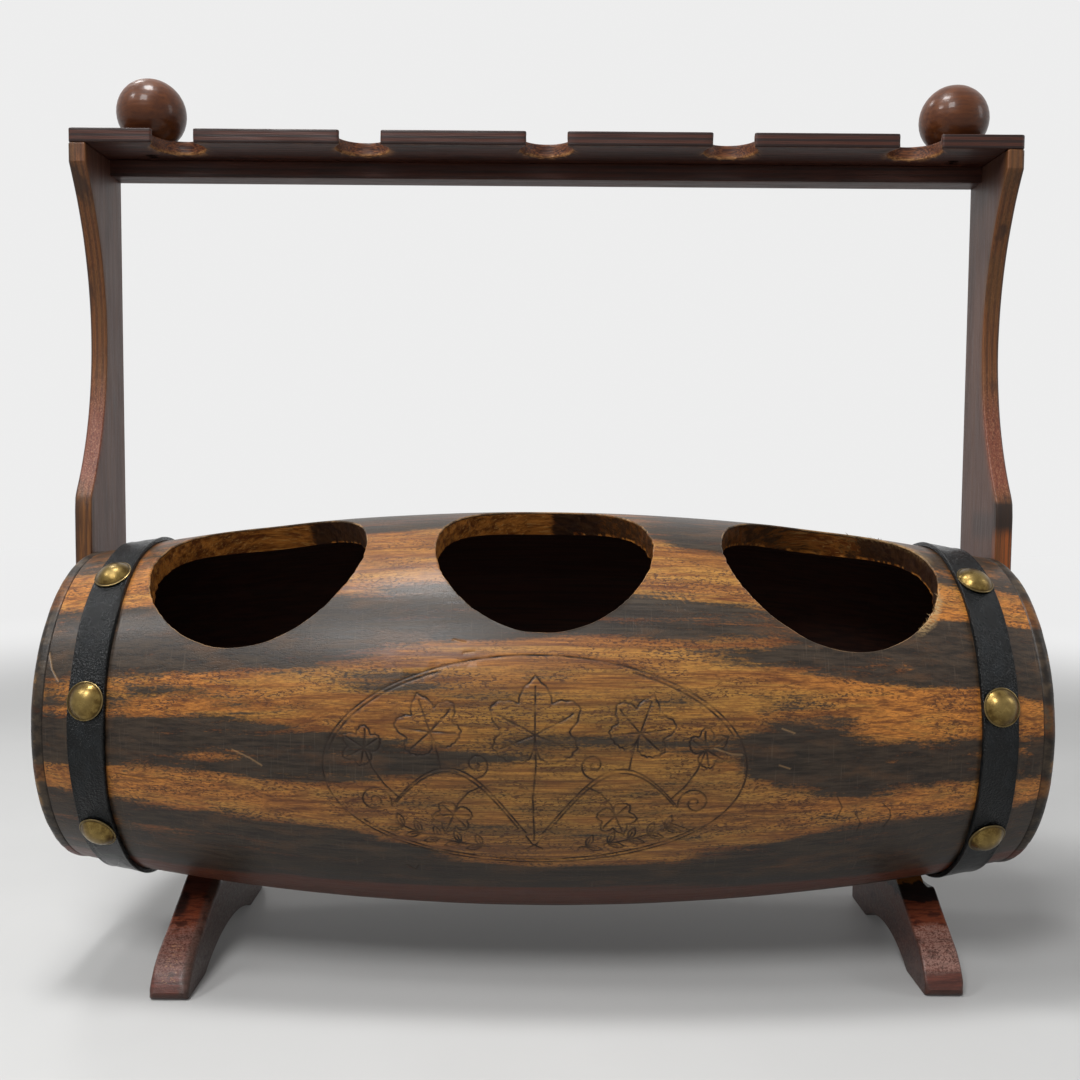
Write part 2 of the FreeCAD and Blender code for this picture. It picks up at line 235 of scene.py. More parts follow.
# Each row: millimetres along the barrel, upper and lower edge in degrees, strength
dark_bands = [
    [(-250, -38, 27, .75), (-210, -38, 30, .6), (-90, -38, 21, .85), (-55, -38, 20, .85),
     (50, -38, 27, .55), (72, -38, 31, .95), (90, -38, 33, .8), (200, -38, 34, .7), (225, -38, 36, .7),
     (250, -38, 37, .7)],
    [(-250, 47, 74, .85), (-210, 49, 72, .95), (-110, 47.5, 69, .95), (-50, 46, 64.5, .9), (0, 52, 62, .85),
     (50, 49, 62.5, .9), (75, 49, 65, .8), (100, 51, 67, .8), (150, 56, 71, .95), (210, 51, 72, .95),
     (250, 51, 75, .9)],
    [(-250, 85, 98, .85), (-210, 84, 97, .95), (-150, 84, 98, 1), (-100, 85, 97.5, .95), (-60, 87, 97, .65),
     (-30, 86, 91, .25), (50, 85, 90, .25), (85, 86, 93, .65), (110, 87, 101, 1), (150, 90, 105, 1),
     (210, 89, 102, .95), (250, 89, 102, .8)],
    [(-250, 108, 140, .85), (-205, 109, 140, .9), (-150, 111, 139, 1), (-90, 114, 138, 1),
     (-50, 121, 137, 1), (0, 127, 136, 1), (50, 125, 137, 1), (100, 119, 139, 1), (150, 113, 139, 1),
     (250, 112, 137, .95)],
    [(-250, 158, 171, .5), (-60, 160, 178, .75), (60, 155, 172, .6), (250, 150, 166, .8)],
    [(-250, 196, 214, .9), (-80, 199, 222, 1), (40, 203, 215, .7), (250, 194, 218, .95)],
    [(-250, 236, 252, .8), (-120, 232, 255, 1), (0, 240, 250, .6), (130, 236, 258, 1), (250, 240, 254, .9)],
    [(-250, 274, 300, .9), (-60, 279, 296, .8), (90, 272, 303, 1), (250, 278, 299, .85)],
]

# Single brush strokes. Each row: their middle along and round the barrel, half length, half height, how much
# darker they are, or lighter where that is below zero
strokes = np.array([
    (-62, 72.5, 32, 2.2, .6), (-20, 76, 45, 1.1, .35), (52, 76.5, 24, 1.8, .5), (20, 70, 45, 0.9, .3),
    (28, 86, 50, 2.3, .4), (-40, 91, 36, 3.4, .5), (126, 85, 28, 6.0, .85), (60, 90.5, 32, 1.2, .35),
    (38, 93, 34, 1.6, -.5), (-42, 98, 32, 1.1, .4), (-108, 99.5, 30, 0.8, .6), (-153, 93.5, 19, 1.7, -.6),
    (10, 101.5, 55, 1.3, .35), (75, 100, 28, 1.4, .4), (-75, 105, 42, 2.6, .4), (45, 106.5, 60, 1.1, .3),
    (82, 111, 28, 1.3, .4), (15, 122.8, 56, 1.5, -1.0), (88, 117.5, 30, 1.5, -.7), (-32, 112, 44, 2.4, .4),
    (42, 115.5, 42, 1.5, .4), (-172, 76, 32, 1.5, .35), (-132, 79, 32, 1.1, .4), (172, 79, 38, 0.9, .35),
    (150, 75.5, 42, 0.7, .3), (188, 108, 26, 0.9, .4), (150, 110, 26, 1.1, .3), (32, 63.8, 38, 1.3, -.7),
    (88, 62, 26, 1.6, -.45), (-190, 119, 34, 3.4, -.35), (-75, 34, 20, 1.2, .3), (-72, 45.5, 26, 1.3, -.4),
    (72, 49.3, 24, 0.6, -.5), (68, 44, 24, 0.8, .35), (-225, 80, 30, 2.0, .45), (-228, 101, 26, 1.4, .4),
    (228, 94, 26, 2.0, -.3), (232, 45, 16, 3.0, -.4), (-120, 63, 60, 1.2, -.15), (190, 96, 40, 1.0, -.25),
    (-90, 125, 60, 1.4, -.2), (120, 128, 60, 1.2, -.2), (-20, 81.5, 50, 0.8, .35), (40, 97, 50, 0.8, .3),
    (-20, 75, 90, 10, .1), (175, 78, 55, 5.0, -.3), (20, 112, 90, 9, .1), (-190, 78, 60, 6.0, .28),
    (-243, 78, 9, 16, .3), (243, 82, 8, 20, .25),
])


def stain(x, angle):
    """What is painted on the barrel at these places: how dark, red, olive and bright the stain is, from 0 to
    1. A band is full between its edges and fades over a few degrees beyond them. A stroke fades from its
    middle."""
    x, angle = np.broadcast_arrays(np.asarray(x, float), np.asarray(angle, float))
    angle = np.where(angle > first_angle + 360, angle - 360, angle)
    angle = np.where(angle < first_angle, angle + 360, angle)
    place = np.stack([x, angle * degree_length, np.zeros_like(x)], axis=-1)
    angle = angle + 1.6 * wobble(place, (110, 14, 50), seed=4)
    dark = np.zeros_like(x)
    for rows in dark_bands:
        stations, upper, lower, strength = np.array(rows).T
        top, bottom, full = (np.interp(x, stations, values) for values in (upper, lower, strength))
        below_top = step(top - band_fade, top + band_start, angle)
        above_bottom = step(bottom + band_fade, bottom - band_start, angle)
        dark = np.maximum(dark, full * below_top * above_bottom)
    for middle, level, half_long, half_high, amount in strokes:
        away = np.abs((x - middle) / half_long) ** 3 + ((angle - level) / half_high) ** 2
        dark = dark + amount * np.exp(-away)
    red = step(127, 138, angle) * step(222, 196, angle) + 0.35 * step(-12, -34, angle)
    olive = np.exp(-((x - 12) / 95) ** 2) * step(64, 80, angle) * step(128, 112, angle)
    bright = step(90, 180, np.abs(x)) * step(8, 24, angle) * step(122, 108, angle) * (1 - 0.4 * (x < 0))
    return {"dark": np.clip(dark, 0, 1), "red": np.clip(red, 0, 1), "olive": olive, "bright": bright}


def stain_at(points):
    return stain(points[..., 0], np.degrees(turn_of(points)))


front = stain(*np.meshgrid(np.arange(-240, 241, 8), np.arange(0, 180, 4)))
print("dark share of the front: %.2f" % front["dark"].mean())

# %% [markdown]
# ## The bottle openings
# Each opening was drilled towards the barrel's axis, tilted to the front, so its edge is a saddle-shaped
# loop. A ring grid suits it: the rings start at the loop and widen into the rectangle that the rest of the
# barrel's grid leaves free. The rim is rounded, and a little ragged where the drill tore the fibres.

# %% The grid lines and the rings round an opening
opening_radius = 55.0
opening_pitch = 146.0
opening_tilt = 29.0
opening_reach = 43.0
lip = 0.9
cells_along, cells_round = 43, 47
ring_count = 11
wall_rows = 9

columns_in = np.linspace(-opening_pitch / 2, opening_pitch / 2, cells_along + 1)
rows_in = opening_tilt + np.linspace(-opening_reach, opening_reach, cells_round + 1)


def hole_point(across_x, across_front, station, depth):
    """A point of the barrel that lies this far from the hole's centre line, along x and towards the
    front."""
    x = station + across_x
    radius = barrel_radius(x, depth)
    height = np.sqrt(radius ** 2 - across_front ** 2)
    turn = np.radians(opening_tilt)
    return np.stack([x, -across_front * np.cos(turn) - height * np.sin(turn),
                     axis_height - across_front * np.sin(turn) + height * np.cos(turn)], axis=-1)


def border_loop(station):
    """The rectangle round an opening, once round: places along x and towards the front, from its centre."""
    along = np.concatenate([columns_in[:-1], np.full(cells_round, columns_in[-1]),
                            columns_in[:0:-1], np.full(cells_round, columns_in[0])])
    angle = np.concatenate([np.full(cells_along, rows_in[0]), rows_in[:-1],
                            np.full(cells_along, rows_in[-1]), rows_in[:0:-1]])
    return along, barrel_radius(station + along) * np.sin(np.radians(angle - opening_tilt))


def ragged_rim(turn, station):
    """How far the rim strays from the true circle, most where the drill came out across the grain."""
    place = np.stack([np.cos(turn) * 60, np.sin(turn) * 60, np.full_like(turn, station)], axis=-1)
    torn = np.abs(np.cos(turn)) ** 3
    nicks = np.clip(wobble(place, 3.0, seed=22), 0, 1)
    return 0.15 * wobble(place, 14, seed=21) + (0.05 + 0.55 * torn) * nicks


def wall_fibres(turn, depth):
    """How far the fibres stand off an opening's wall at this turn and depth."""
    place = np.stack(np.broadcast_arrays(depth * 3, np.cos(turn) * 60, np.sin(turn) * 60), axis=-1)
    return 0.35 * wobble(place, (9, 2.6, 2.6), seed=33)


def torn_share(turn, station):
    """How badly the drill tore this part of a rim, from 0 to 1: only the right opening's right end is
    torn."""
    degrees = np.degrees(turn)
    return (station > 0) * (step(14, 26, degrees) * step(54, 42, degrees)
                            + 0.45 * step(-76, -58, degrees) * step(-4, -14, degrees))


def splinter_sheets(station, count=70):
    """Thin blades that stand off the torn part of a rim, mostly along the grain. A blade is a few small
    loops that swell from a point inside the wood and shrink to its tip."""
    draw = np.random.default_rng(17)
    turn = np.radians(np.concatenate([draw.uniform(20, 48, count // 2), draw.uniform(-66, -8, count // 2)]))
    reach = opening_radius + lip + draw.uniform(-0.6, 0.9, count)
    root = hole_point(reach * np.cos(turn), reach * np.sin(turn), station, 0.5)
    lifted = hole_point(reach * np.cos(turn), reach * np.sin(turn), station, -0.5)
    tilt = np.radians(opening_tilt)
    round_rim = np.stack([-np.sin(turn), -np.cos(turn) * np.cos(tilt), -np.cos(turn) * np.sin(tilt)],
                         axis=-1)
    way = (np.array([-0.7, 0, 0]) + draw.uniform(0.2, 0.9, (count, 1)) * (lifted - root)
           + draw.uniform(-0.9, 0.9, (count, 1)) * round_rim)
    way *= (draw.uniform(0.9, 3.1, count) / np.linalg.norm(way, axis=1))[:, None]
    flat = np.cross(way, lifted - root)
    flat /= np.linalg.norm(flat, axis=1, keepdims=True)
    width = draw.uniform(0.16, 0.34, (count, 1, 1, 1))
    share = np.array([0, 0, 0.35, 0.7, 1, 1])[:, None, None]
    swell = np.array([0, 1, 0.85, 0.55, 0.1, 0])[:, None, None]
    loop = np.radians([0, 90, 180, 270])[:, None]
    root, way, flat, up = (values[:, None, None] for values in (root, way, flat, lifted - root))
    blades = root + way * share + width * swell * (np.cos(loop) * flat + 0.5 * np.sin(loop) * up)
    straw = np.where(np.arange(count) < count // 2, 1.0, 0.55)
    return [sheet(blade, close_columns=True, lip=0.0, straw=pale) for blade, pale in zip(blades, straw)]


def opening_sheets(station, char):
    """The rings on the face, the rounded lip and the wall of one opening, down to the staves' inner face."""
    along, front = border_loop(station)
    turn = np.arctan2(front, along)
    radius = opening_radius + ragged_rim(turn, station)
    unit = np.stack([np.cos(turn), np.sin(turn)])
    loop = np.stack([along, front])
    share = np.linspace(0, 1, ring_count) ** 1.35
    rings = (radius + lip) * unit * (1 - share[:, None, None]) + loop * share[:, None, None]
    face = hole_point(rings[:, 0], rings[:, 1], station, 0.0)
    quarter = np.linspace(0, np.pi / 2, 5)[:, None]
    reach = radius + lip * (1 - np.sin(quarter))
    rounded = hole_point(reach * unit[0], reach * unit[1], station, lip * (1 - np.cos(quarter)))
    depth = lip + (stave_thickness - lip) * np.linspace(0, 1, wall_rows)[:, None] ** 1.2
    rough = wall_fibres(turn, depth) * step(lip, lip + 1.5, depth)
    wall = hole_point((radius + rough) * unit[0], (radius + rough) * unit[1], station, depth)
    painted = stain_at(rounded)
    burnt = char(np.cos(turn) * opening_radius, np.sin(turn)) * np.ones_like(depth)
    burnt[0] = painted["dark"][-1]
    torn = torn_share(turn, station)
    off_rim = np.linalg.norm(rings, axis=1) - radius - lip
    return [
        sheet(face, close_columns=True, outer=1.0, lip=0.5 * np.exp(-share * 16)[:, None],
              straw=torn * step(3.4, 0.6, off_rim), **stain_at(face)),
        sheet(rounded, close_columns=True, outer=1.0, lip=0.5 + 0.5 * np.sin(quarter), straw=torn,
              **painted),
        sheet(wall, close_columns=True, finish=1, dark=burnt, straw=0.6 * torn * step(3.5, 1.0, depth),
              lip=1 - step(lip, lip + 2, depth)),
    ]


# How black each opening's wall is, by the place along x from its centre. The sine of the turn is handed in
# as well but not used.
opening_chars = {
    -opening_pitch: lambda along, front: 0.95 * step(8, 26, along) + 0.15,
    0.0: lambda along, front: 0.9 * step(0, 10, along) - 0.35 * step(22, 36, along) + 0.1,
    opening_pitch: lambda along, front: 0.6 - 0.15 * step(-20, 10, along) + 0.45 * step(18, 42, along),
}

# %% [markdown]
# ## The barrel as one shell
# The rest of the outside is a plain grid round the rectangles, the inside is a coarser grid with a groove
# between each pair of staves, and the two meet at the ends behind the heads. All of it is one closed shell,
# so the stain and the light run over it without a break.

# %% Outer and inner sheets
edge_columns = 8
columns_out = np.linspace(opening_pitch * 1.5, half_length, edge_columns)
columns_all = np.concatenate([
    -columns_out[:0:-1], *(columns_in[:-1] + station for station in opening_chars), columns_out])
rows_out = np.linspace(rows_in[-1], rows_in[0] + 360, 151)
groove_depth, groove_reach = 0.6, 0.9
stave_angle = 30.0
beside_opening = (-columns_out[::-1], columns_out)


def outer_sheet(stations, angles):
    x, angle = np.meshgrid(stations, angles)
    return sheet(on_barrel(x, angle), outer=1.0, **stain(x, angle))


def inner_depth(angle):
    """The depth of the inner face below the outer one, with a narrow groove at every joint between
    staves."""
    from_joint = np.abs((angle - opening_tilt) % stave_angle - stave_angle / 2)
    return stave_thickness - groove_depth * np.exp(-(from_joint / groove_reach) ** 2)


joints = (opening_tilt + stave_angle / 2 + stave_angle * np.arange(12)) % 360
beside_joints = (joints[:, None] + groove_reach * np.array([-1, 0, 1])).ravel()
beside_joints = beside_joints[(beside_joints > rows_out[0] + 1) & (beside_joints < rows_out[-1] - 1)]
inner_rows = np.unique(np.concatenate([rows_out[::3], beside_joints]))


def inner_sheets():
    """The inside: the plain part, and the rings round each opening from the wall's foot to the rectangle."""
    x, angle = np.meshgrid(columns_all, inner_rows)
    made = [sheet(on_barrel(x, angle, inner_depth(angle)), finish=2)]
    for stations in beside_opening:
        x, angle = np.meshgrid(stations, rows_in)
        made.append(sheet(on_barrel(x, angle, stave_thickness), finish=2))
    for station in opening_chars:
        along, front = border_loop(station)
        turn = np.arctan2(front, along)
        reach = opening_radius + ragged_rim(turn, station) + wall_fibres(turn, stave_thickness)
        rim = reach * np.stack([np.cos(turn), np.sin(turn)])
        angle = np.degrees(np.arcsin(front / barrel_radius(station + along)))
        inner_front = barrel_radius(station + along, stave_thickness) * np.sin(np.radians(angle))
        share = np.linspace(0, 1, 5)[:, None, None]
        rings = rim * (1 - share) + np.stack([along, inner_front]) * share
        points = hole_point(rings[:, 0], rings[:, 1], station, stave_thickness)
        made.append(sheet(points, close_columns=True, finish=2))
    return made


def nearest(values, wanted):
    """For each wanted value, the nearest one of the sorted values."""
    middles = (values[1:] + values[:-1]) / 2
    return values[np.searchsorted(middles, wanted)]


def end_sheets():
    """The ring between the outer and the inner face at both ends. The two circles have different points, so
    the ring walks through all of them and snaps each to the nearest on either circle."""
    outer_angles = np.concatenate([rows_in[:-1], rows_out])
    inner_angles = np.concatenate([rows_in[:-1], inner_rows])
    walk = np.unique(np.concatenate([outer_angles, inner_angles]))
    made = []
    outer, inner = nearest(outer_angles, walk), nearest(inner_angles, walk)
    depth = np.where(inner < rows_in[-1], stave_thickness, inner_depth(inner))
    for x in (-half_length, half_length):
        points = np.stack([on_barrel(x, outer), on_barrel(x, inner, depth)])
        made.append(sheet(points, finish=2, outer=np.array([[1.0], [0.0]]), **stain(x, outer)))
    return made


shell_sheets = [outer_sheet(columns_all, rows_out)]
shell_sheets += [outer_sheet(stations, rows_in) for stations in beside_opening]
for station, char in opening_chars.items():
    shell_sheets += opening_sheets(station, char)
shell_sheets += splinter_sheets(opening_pitch)
print("outer grid:", len(columns_all), "by", len(rows_out) + len(rows_in), "lines")

# %% [markdown]
# ## The burnt-in drawing
# A drawing is burnt into the barrel's front with a hot tip: an oval, and inside it a vine leaf between two
# scrolling shoots above a row of slim leaves. Every line is a formula on a flat sheet, millimetres to the
# right and up from the oval's centre. A leaf is a toothed outline with pointed lobes, and a tendril is a
# spiral that tightens.

# %% Lines of the drawing
drawing_x, drawing_angle = -4.0, 94.8
oval_half_width, oval_half_height = 99.6, 53.5
turn_rate = np.radians(1) * middle_radius


def ellipse(half_width, half_height, start=0, end=360, count=240):
    turn = np.radians(np.linspace(start, end, count))
    return np.stack([half_width * np.cos(turn), half_height * np.sin(turn)], axis=1)


def turned(line, angle, x=0.0, y=0.0):
    """A line turned to the left by the angle in degrees, then moved."""
    turn = np.radians(angle)
    return line @ np.array([[np.cos(turn), np.sin(turn)], [-np.sin(turn), np.cos(turn)]]) + (x, y)


mirror = np.array([-1, 1])
leaf_edge = np.array([
    (0, 1), (9, .87), (19, .76), (27, .6), (36, .72), (46, .84), (56, .9), (66, .82), (76, .68), (84, .56),
    (94, .66), (106, .74), (120, .7), (136, .62), (152, .54), (166, .42), (180, .08)])
leaf_tips = np.array([0, 56, -56, 106, -106])


def leaf(size, x, y, angle):
    """A leaf with its tip up before it is turned. The edge is given by degrees from the tip and the share of
    the size there, the same on both sides, with small teeth. A vein runs out to each of its tips."""
    off_tip = np.linspace(-180, 180, 289)
    radius = np.interp(np.abs(off_tip), *leaf_edge.T) + 0.07 * np.abs((off_tip / 12) % 1 - 0.5)
    turn = np.radians(off_tip)
    lines = [size * np.stack([radius * np.sin(turn), radius * np.cos(turn)], axis=1)]
    for vein in leaf_tips:
        out = np.linspace(0.0, 0.84 * size * np.interp(abs(vein), *leaf_edge.T), 12)
        bend = np.radians(vein) + 0.1 * np.sin(out / size * np.pi) * np.sign(vein)
        lines.append(np.stack([out * np.sin(bend), out * np.cos(bend)], axis=1))
    return [turned(line, angle, x, y) for line in lines]


def almond(length, x, y, angle):
    """A small slim leaf that starts at the point, with its outline and a short vein."""
    share = np.linspace(0, 1, 14)
    side = np.stack([0.2 * length * np.sin(np.pi * share), length * share], axis=1)
    vein = np.array([(0, 0), (0, 0.6 * length)])
    return [turned(line, angle, x, y) for line in (side, side * mirror, vein)]


def tendril(x, y, start, size, turns):
    """A spiral that starts at the point, has its centre a size away in the start's direction, and
    tightens."""
    share = np.linspace(0, 1, 90)
    angle = np.radians(start + 180) - 2 * np.pi * turns * share
    radius = size * (1 - 0.88 * share ** 0.8)
    centre = (x + size * np.cos(np.radians(start)), y + size * np.sin(np.radians(start)))
    return np.stack([centre[0] + radius * np.cos(angle), centre[1] + radius * np.sin(angle)], axis=1)


def shoot():
    """The right-hand shoot: a stem that swings up and down on its way out, with leaves and tendrils."""
    share = np.linspace(0, 0.88, 80)
    stem = np.stack([4 + 72 * share, -34 + 36 * np.sin(np.pi * share * 0.95) - 4 * share], axis=1)
    lines = [stem, stem[4:-3] + (0.4, -2.0)]
    lines += [tendril(*stem[-1], 15, 8.5, 1.6), tendril(*stem[30], 95, 7.0, 1.4)]
    lines += leaf(19, 49, 17, -20) + leaf(12, 80, 9, -58) + leaf(11.5, 38, -24, -158)
    lines.append(np.array([[44, -0.6], [45, 5], [46.5, 11], [49, 17]]))
    lines.append(np.array([[64, -15.4], [70.5, -9], [76, -1], [80, 9]]))
    lines.append(np.array([[24, -8.6], [31, -12], [36, -18], [38, -24]]))
    twig = ellipse(oval_half_width - 11, oval_half_height - 9, 284, 318, 30)
    for foot in twig[2::6]:
        lines += almond(8.0, *foot, -20) + almond(8.0, *foot, -105)
    lines.append(twig)
    return lines


inner_arcs = ((18, 62), (118, 171), (214, 322))
drawing = [ellipse(oval_half_width, oval_half_height)]
drawing += [ellipse(oval_half_width - 2, oval_half_height - 2, *arc) for arc in inner_arcs]
drawing += [line * side for line in shoot() for side in (1, mirror)]
drawing += leaf(27, 0, 16, 0) + [np.array([[0, 16], [0.6, 2], [-0.8, -14], [0, -38]])]
drawing += [np.array([[-4, -36], [-1, -41], [4, -44]]), np.array([[4, -36], [1, -41], [-4, -44]])]
drawn_length = sum(np.linalg.norm(np.diff(line, axis=0), axis=1).sum() for line in drawing)
print(len(drawing), "lines, %.0f mm long in all" % drawn_length)

# %% [markdown]
# Besides the drawing, years of use left a few marks: short scratches and nicks, and some cracks along the
# grain. They are lines too, in millimetres along the barrel and degrees round it.

# %% Scratches, nicks and cracks
pale_marks = [
    [(-147, 91.5), (-139, 93.5), (-133, 95.6)], [(112, 84.4), (118, 85.6)], [(111, 94.2), (116, 95.2)],
    [(-43, 62), (-37, 62.8)], [(-38, 65.6), (-33, 65.3)], [(80, 89.5), (88, 91), (93, 91.2)],
    [(-243, 62), (-240, 68)], [(-240, 68), (-236, 72)],
]
dark_marks = [
    [(163, 107), (167, 109.5), (168, 112), (165, 115.5)], [(140, 104), (143, 107.5), (141, 111)],
    [(150, 110), (153, 113), (152, 116)], [(-132, 99.2), (-112, 99.0), (-95, 99.6)],
    [(-66, 126), (-62, 128), (-60, 126)], [(60, 110), (72, 113)],
    [(-205, 101), (-190, 101.6), (-180, 101.2)],
]


def on_sheet(points):
    """Places on the barrel, millimetres along it and degrees round it, as places on the drawing's flat
    sheet."""
    x, angle = np.moveaxis(np.asarray(points, float), -1, 0)
    return np.stack([x - drawing_x, (drawing_angle - angle) * turn_rate], axis=-1)


def line_distance(points, lines, chunk=4000):
    """The distance of each point to the nearest of the lines, by the foot of the perpendicular on every
    piece."""
    starts = np.concatenate([line[:-1] for line in lines])
    spans = np.concatenate([np.diff(line, axis=0) for line in lines])
    lengths = (spans ** 2).sum(axis=1) + 1e-12
    nearest_so_far = []
    for first in range(0, len(points), chunk):
        away = points[first:first + chunk, None] - starts
        share = np.clip((away * spans).sum(axis=-1) / lengths, 0, 1)
        nearest_so_far.append(np.linalg.norm(away - share[..., None] * spans, axis=-1).min(axis=1))
    return np.concatenate(nearest_so_far)


pale_lines = [on_sheet(mark) for mark in pale_marks]
dark_lines = [on_sheet(mark) for mark in dark_marks]

# %% [markdown]
# The barrel's grid is too coarse for such fine lines, so only the faces near a line are divided, three
# times, each time closer to it. Then every outer point is set back onto the bow and sunk by the depth of its
# groove, together with a slight unevenness that makes the gloss wander as it does on hand-scraped wood.

# %% Finer faces where lines run, then the grooves
line_half_width, line_depth = 0.5, 0.4
mark_half_width, mark_depth = 0.45, 0.28
sheet_reach = 90
least_depth = 0.10


def vertex_points(mesh):
    points = np.empty(len(mesh.vertices) * 3, np.float32)
    mesh.vertices.foreach_get("co", points)
    return points.reshape(-1, 3).astype(float) / MM


def vertex_values(mesh, layer):
    values = np.empty(len(mesh.vertices), np.float32)
    mesh.attributes[layer].data.foreach_get("value", values)
    return values


def sheet_places(points):
    return on_sheet(np.stack([points[:, 0], np.degrees(turn_of(points)) % 360], axis=-1))


def divide_near(mesh, lines, reach):
    """Halves the outer edges whose two ends lie within reach of a line."""
    points = vertex_points(mesh)
    places = sheet_places(points)
    distance = np.full(len(points), np.inf)
    maybe = (vertex_values(mesh, "outer") > 0.99) & (np.abs(places[:, 1]) < sheet_reach)
    distance[maybe] = line_distance(places[maybe], lines)
    ends = np.empty(len(mesh.edges) * 2, np.int32)
    mesh.edges.foreach_get("vertices", ends)
    chosen = np.flatnonzero((distance[ends.reshape(-1, 2)] < reach).all(axis=1))
    work = bmesh.new()
    work.from_mesh(mesh)
    work.edges.ensure_lookup_table()
    edges = [work.edges[number] for number in chosen]
    bmesh.ops.subdivide_edges(work, edges=edges, cuts=1, use_grid_fill=True)
    work.to_mesh(mesh)
    work.free()


def carve(mesh):
    """Sets the outer points onto the bow, less their unevenness and grooves, and paints the lines."""
    points = vertex_points(mesh)
    outer = vertex_values(mesh, "outer") > 0.99
    on_face = outer & (vertex_values(mesh, "lip") < 0.5001)
    places = sheet_places(points)
    depth = (least_depth + 0.06 * wobble(points, (60, 16, 16), seed=5)
             + 0.03 * wobble(points, (18, 5, 5), seed=6))
    near = outer & (np.abs(places[:, 1]) < sheet_reach)
    paint = {"burn": np.zeros(len(points)), "bare": np.zeros(len(points))}
    drawn, cracked, scratched = (line_distance(places[near], lines)
                                 for lines in (drawing, dark_lines, pale_lines))
    flat = np.concatenate([places[near], np.zeros((near.sum(), 1))], axis=1)
    pressure = np.clip(0.8 + 0.35 * wobble(flat, 7, seed=8), 0.25, 1.1)
    paint["burn"][near] = np.maximum(step(line_half_width * 1.35, line_half_width * 0.5, drawn) * pressure,
                                     step(mark_half_width * 1.3, 0.1, cracked) * 0.8)
    paint["bare"][near] = step(mark_half_width * 1.4, 0.15, scratched)
    depth[near] += line_depth * step(line_half_width * 1.5, 0, drawn) * pressure
    depth[near] += mark_depth * step(mark_half_width * 1.5, 0, np.minimum(cracked, scratched))
    radius = barrel_radius(points[:, 0]) - depth
    points[on_face] = round_axis(points[:, 0], radius, turn_of(points))[on_face]
    mesh.vertices.foreach_set("co", (points * MM).astype(np.float32).ravel())
    for layer, values in paint.items():
        mesh.attributes.new(layer, "FLOAT", "POINT").data.foreach_set("value", values.astype(np.float32))
    mesh.update()


barrel_mesh = build_mesh("barrel_staves", shell_sheets + inner_sheets() + end_sheets())
weld(barrel_mesh)
for reach in (4.0, 2.4, 1.25):
    divide_near(barrel_mesh, drawing + dark_lines + pale_lines, reach)
carve(barrel_mesh)
print("barrel mesh:", len(barrel_mesh.polygons), "faces")

# %% [markdown]
# ## Shader helpers
# A finish is a small network of shader nodes. These helpers keep the networks readable: what leaves a node
# can be added and multiplied like a number, and coats of colour are listed one after another. Colours are
# written as they look on a screen, three numbers from 0 to 255, and turned into linear light.

# %% Shader helpers
def linear(shade):
    share = np.array(shade) / 255
    light = np.where(share <= 0.04045, share / 12.92, ((share + 0.055) / 1.055) ** 2.4)
    return (*(float(value) for value in light), 1.0)


class Flow:
    """What leaves a node of a network. Adding, taking away and multiplying make the nodes that do so."""

    def __init__(self, network, output):
        self.network, self.output = network, output

    def __add__(self, other):
        return self.network.math("ADD", self, other)

    def __sub__(self, other):
        return self.network.math("SUBTRACT", self, other)

    def __rsub__(self, other):
        return self.network.math("SUBTRACT", other, self)

    def __mul__(self, other):
        return self.network.math("MULTIPLY", self, other)

    def __abs__(self):
        return self.network.math("ABSOLUTE", self)

    def step(self, low, high, start=0.0, end=1.0):
        """A smooth change from start, where the value is low, to end, where it is high."""
        inputs = [("Value", self), ("From Min", low), ("From Max", high), ("To Min", start),
                  ("To Max", end)]
        return self.network.add("ShaderNodeMapRange", inputs, interpolation_type="SMOOTHSTEP")


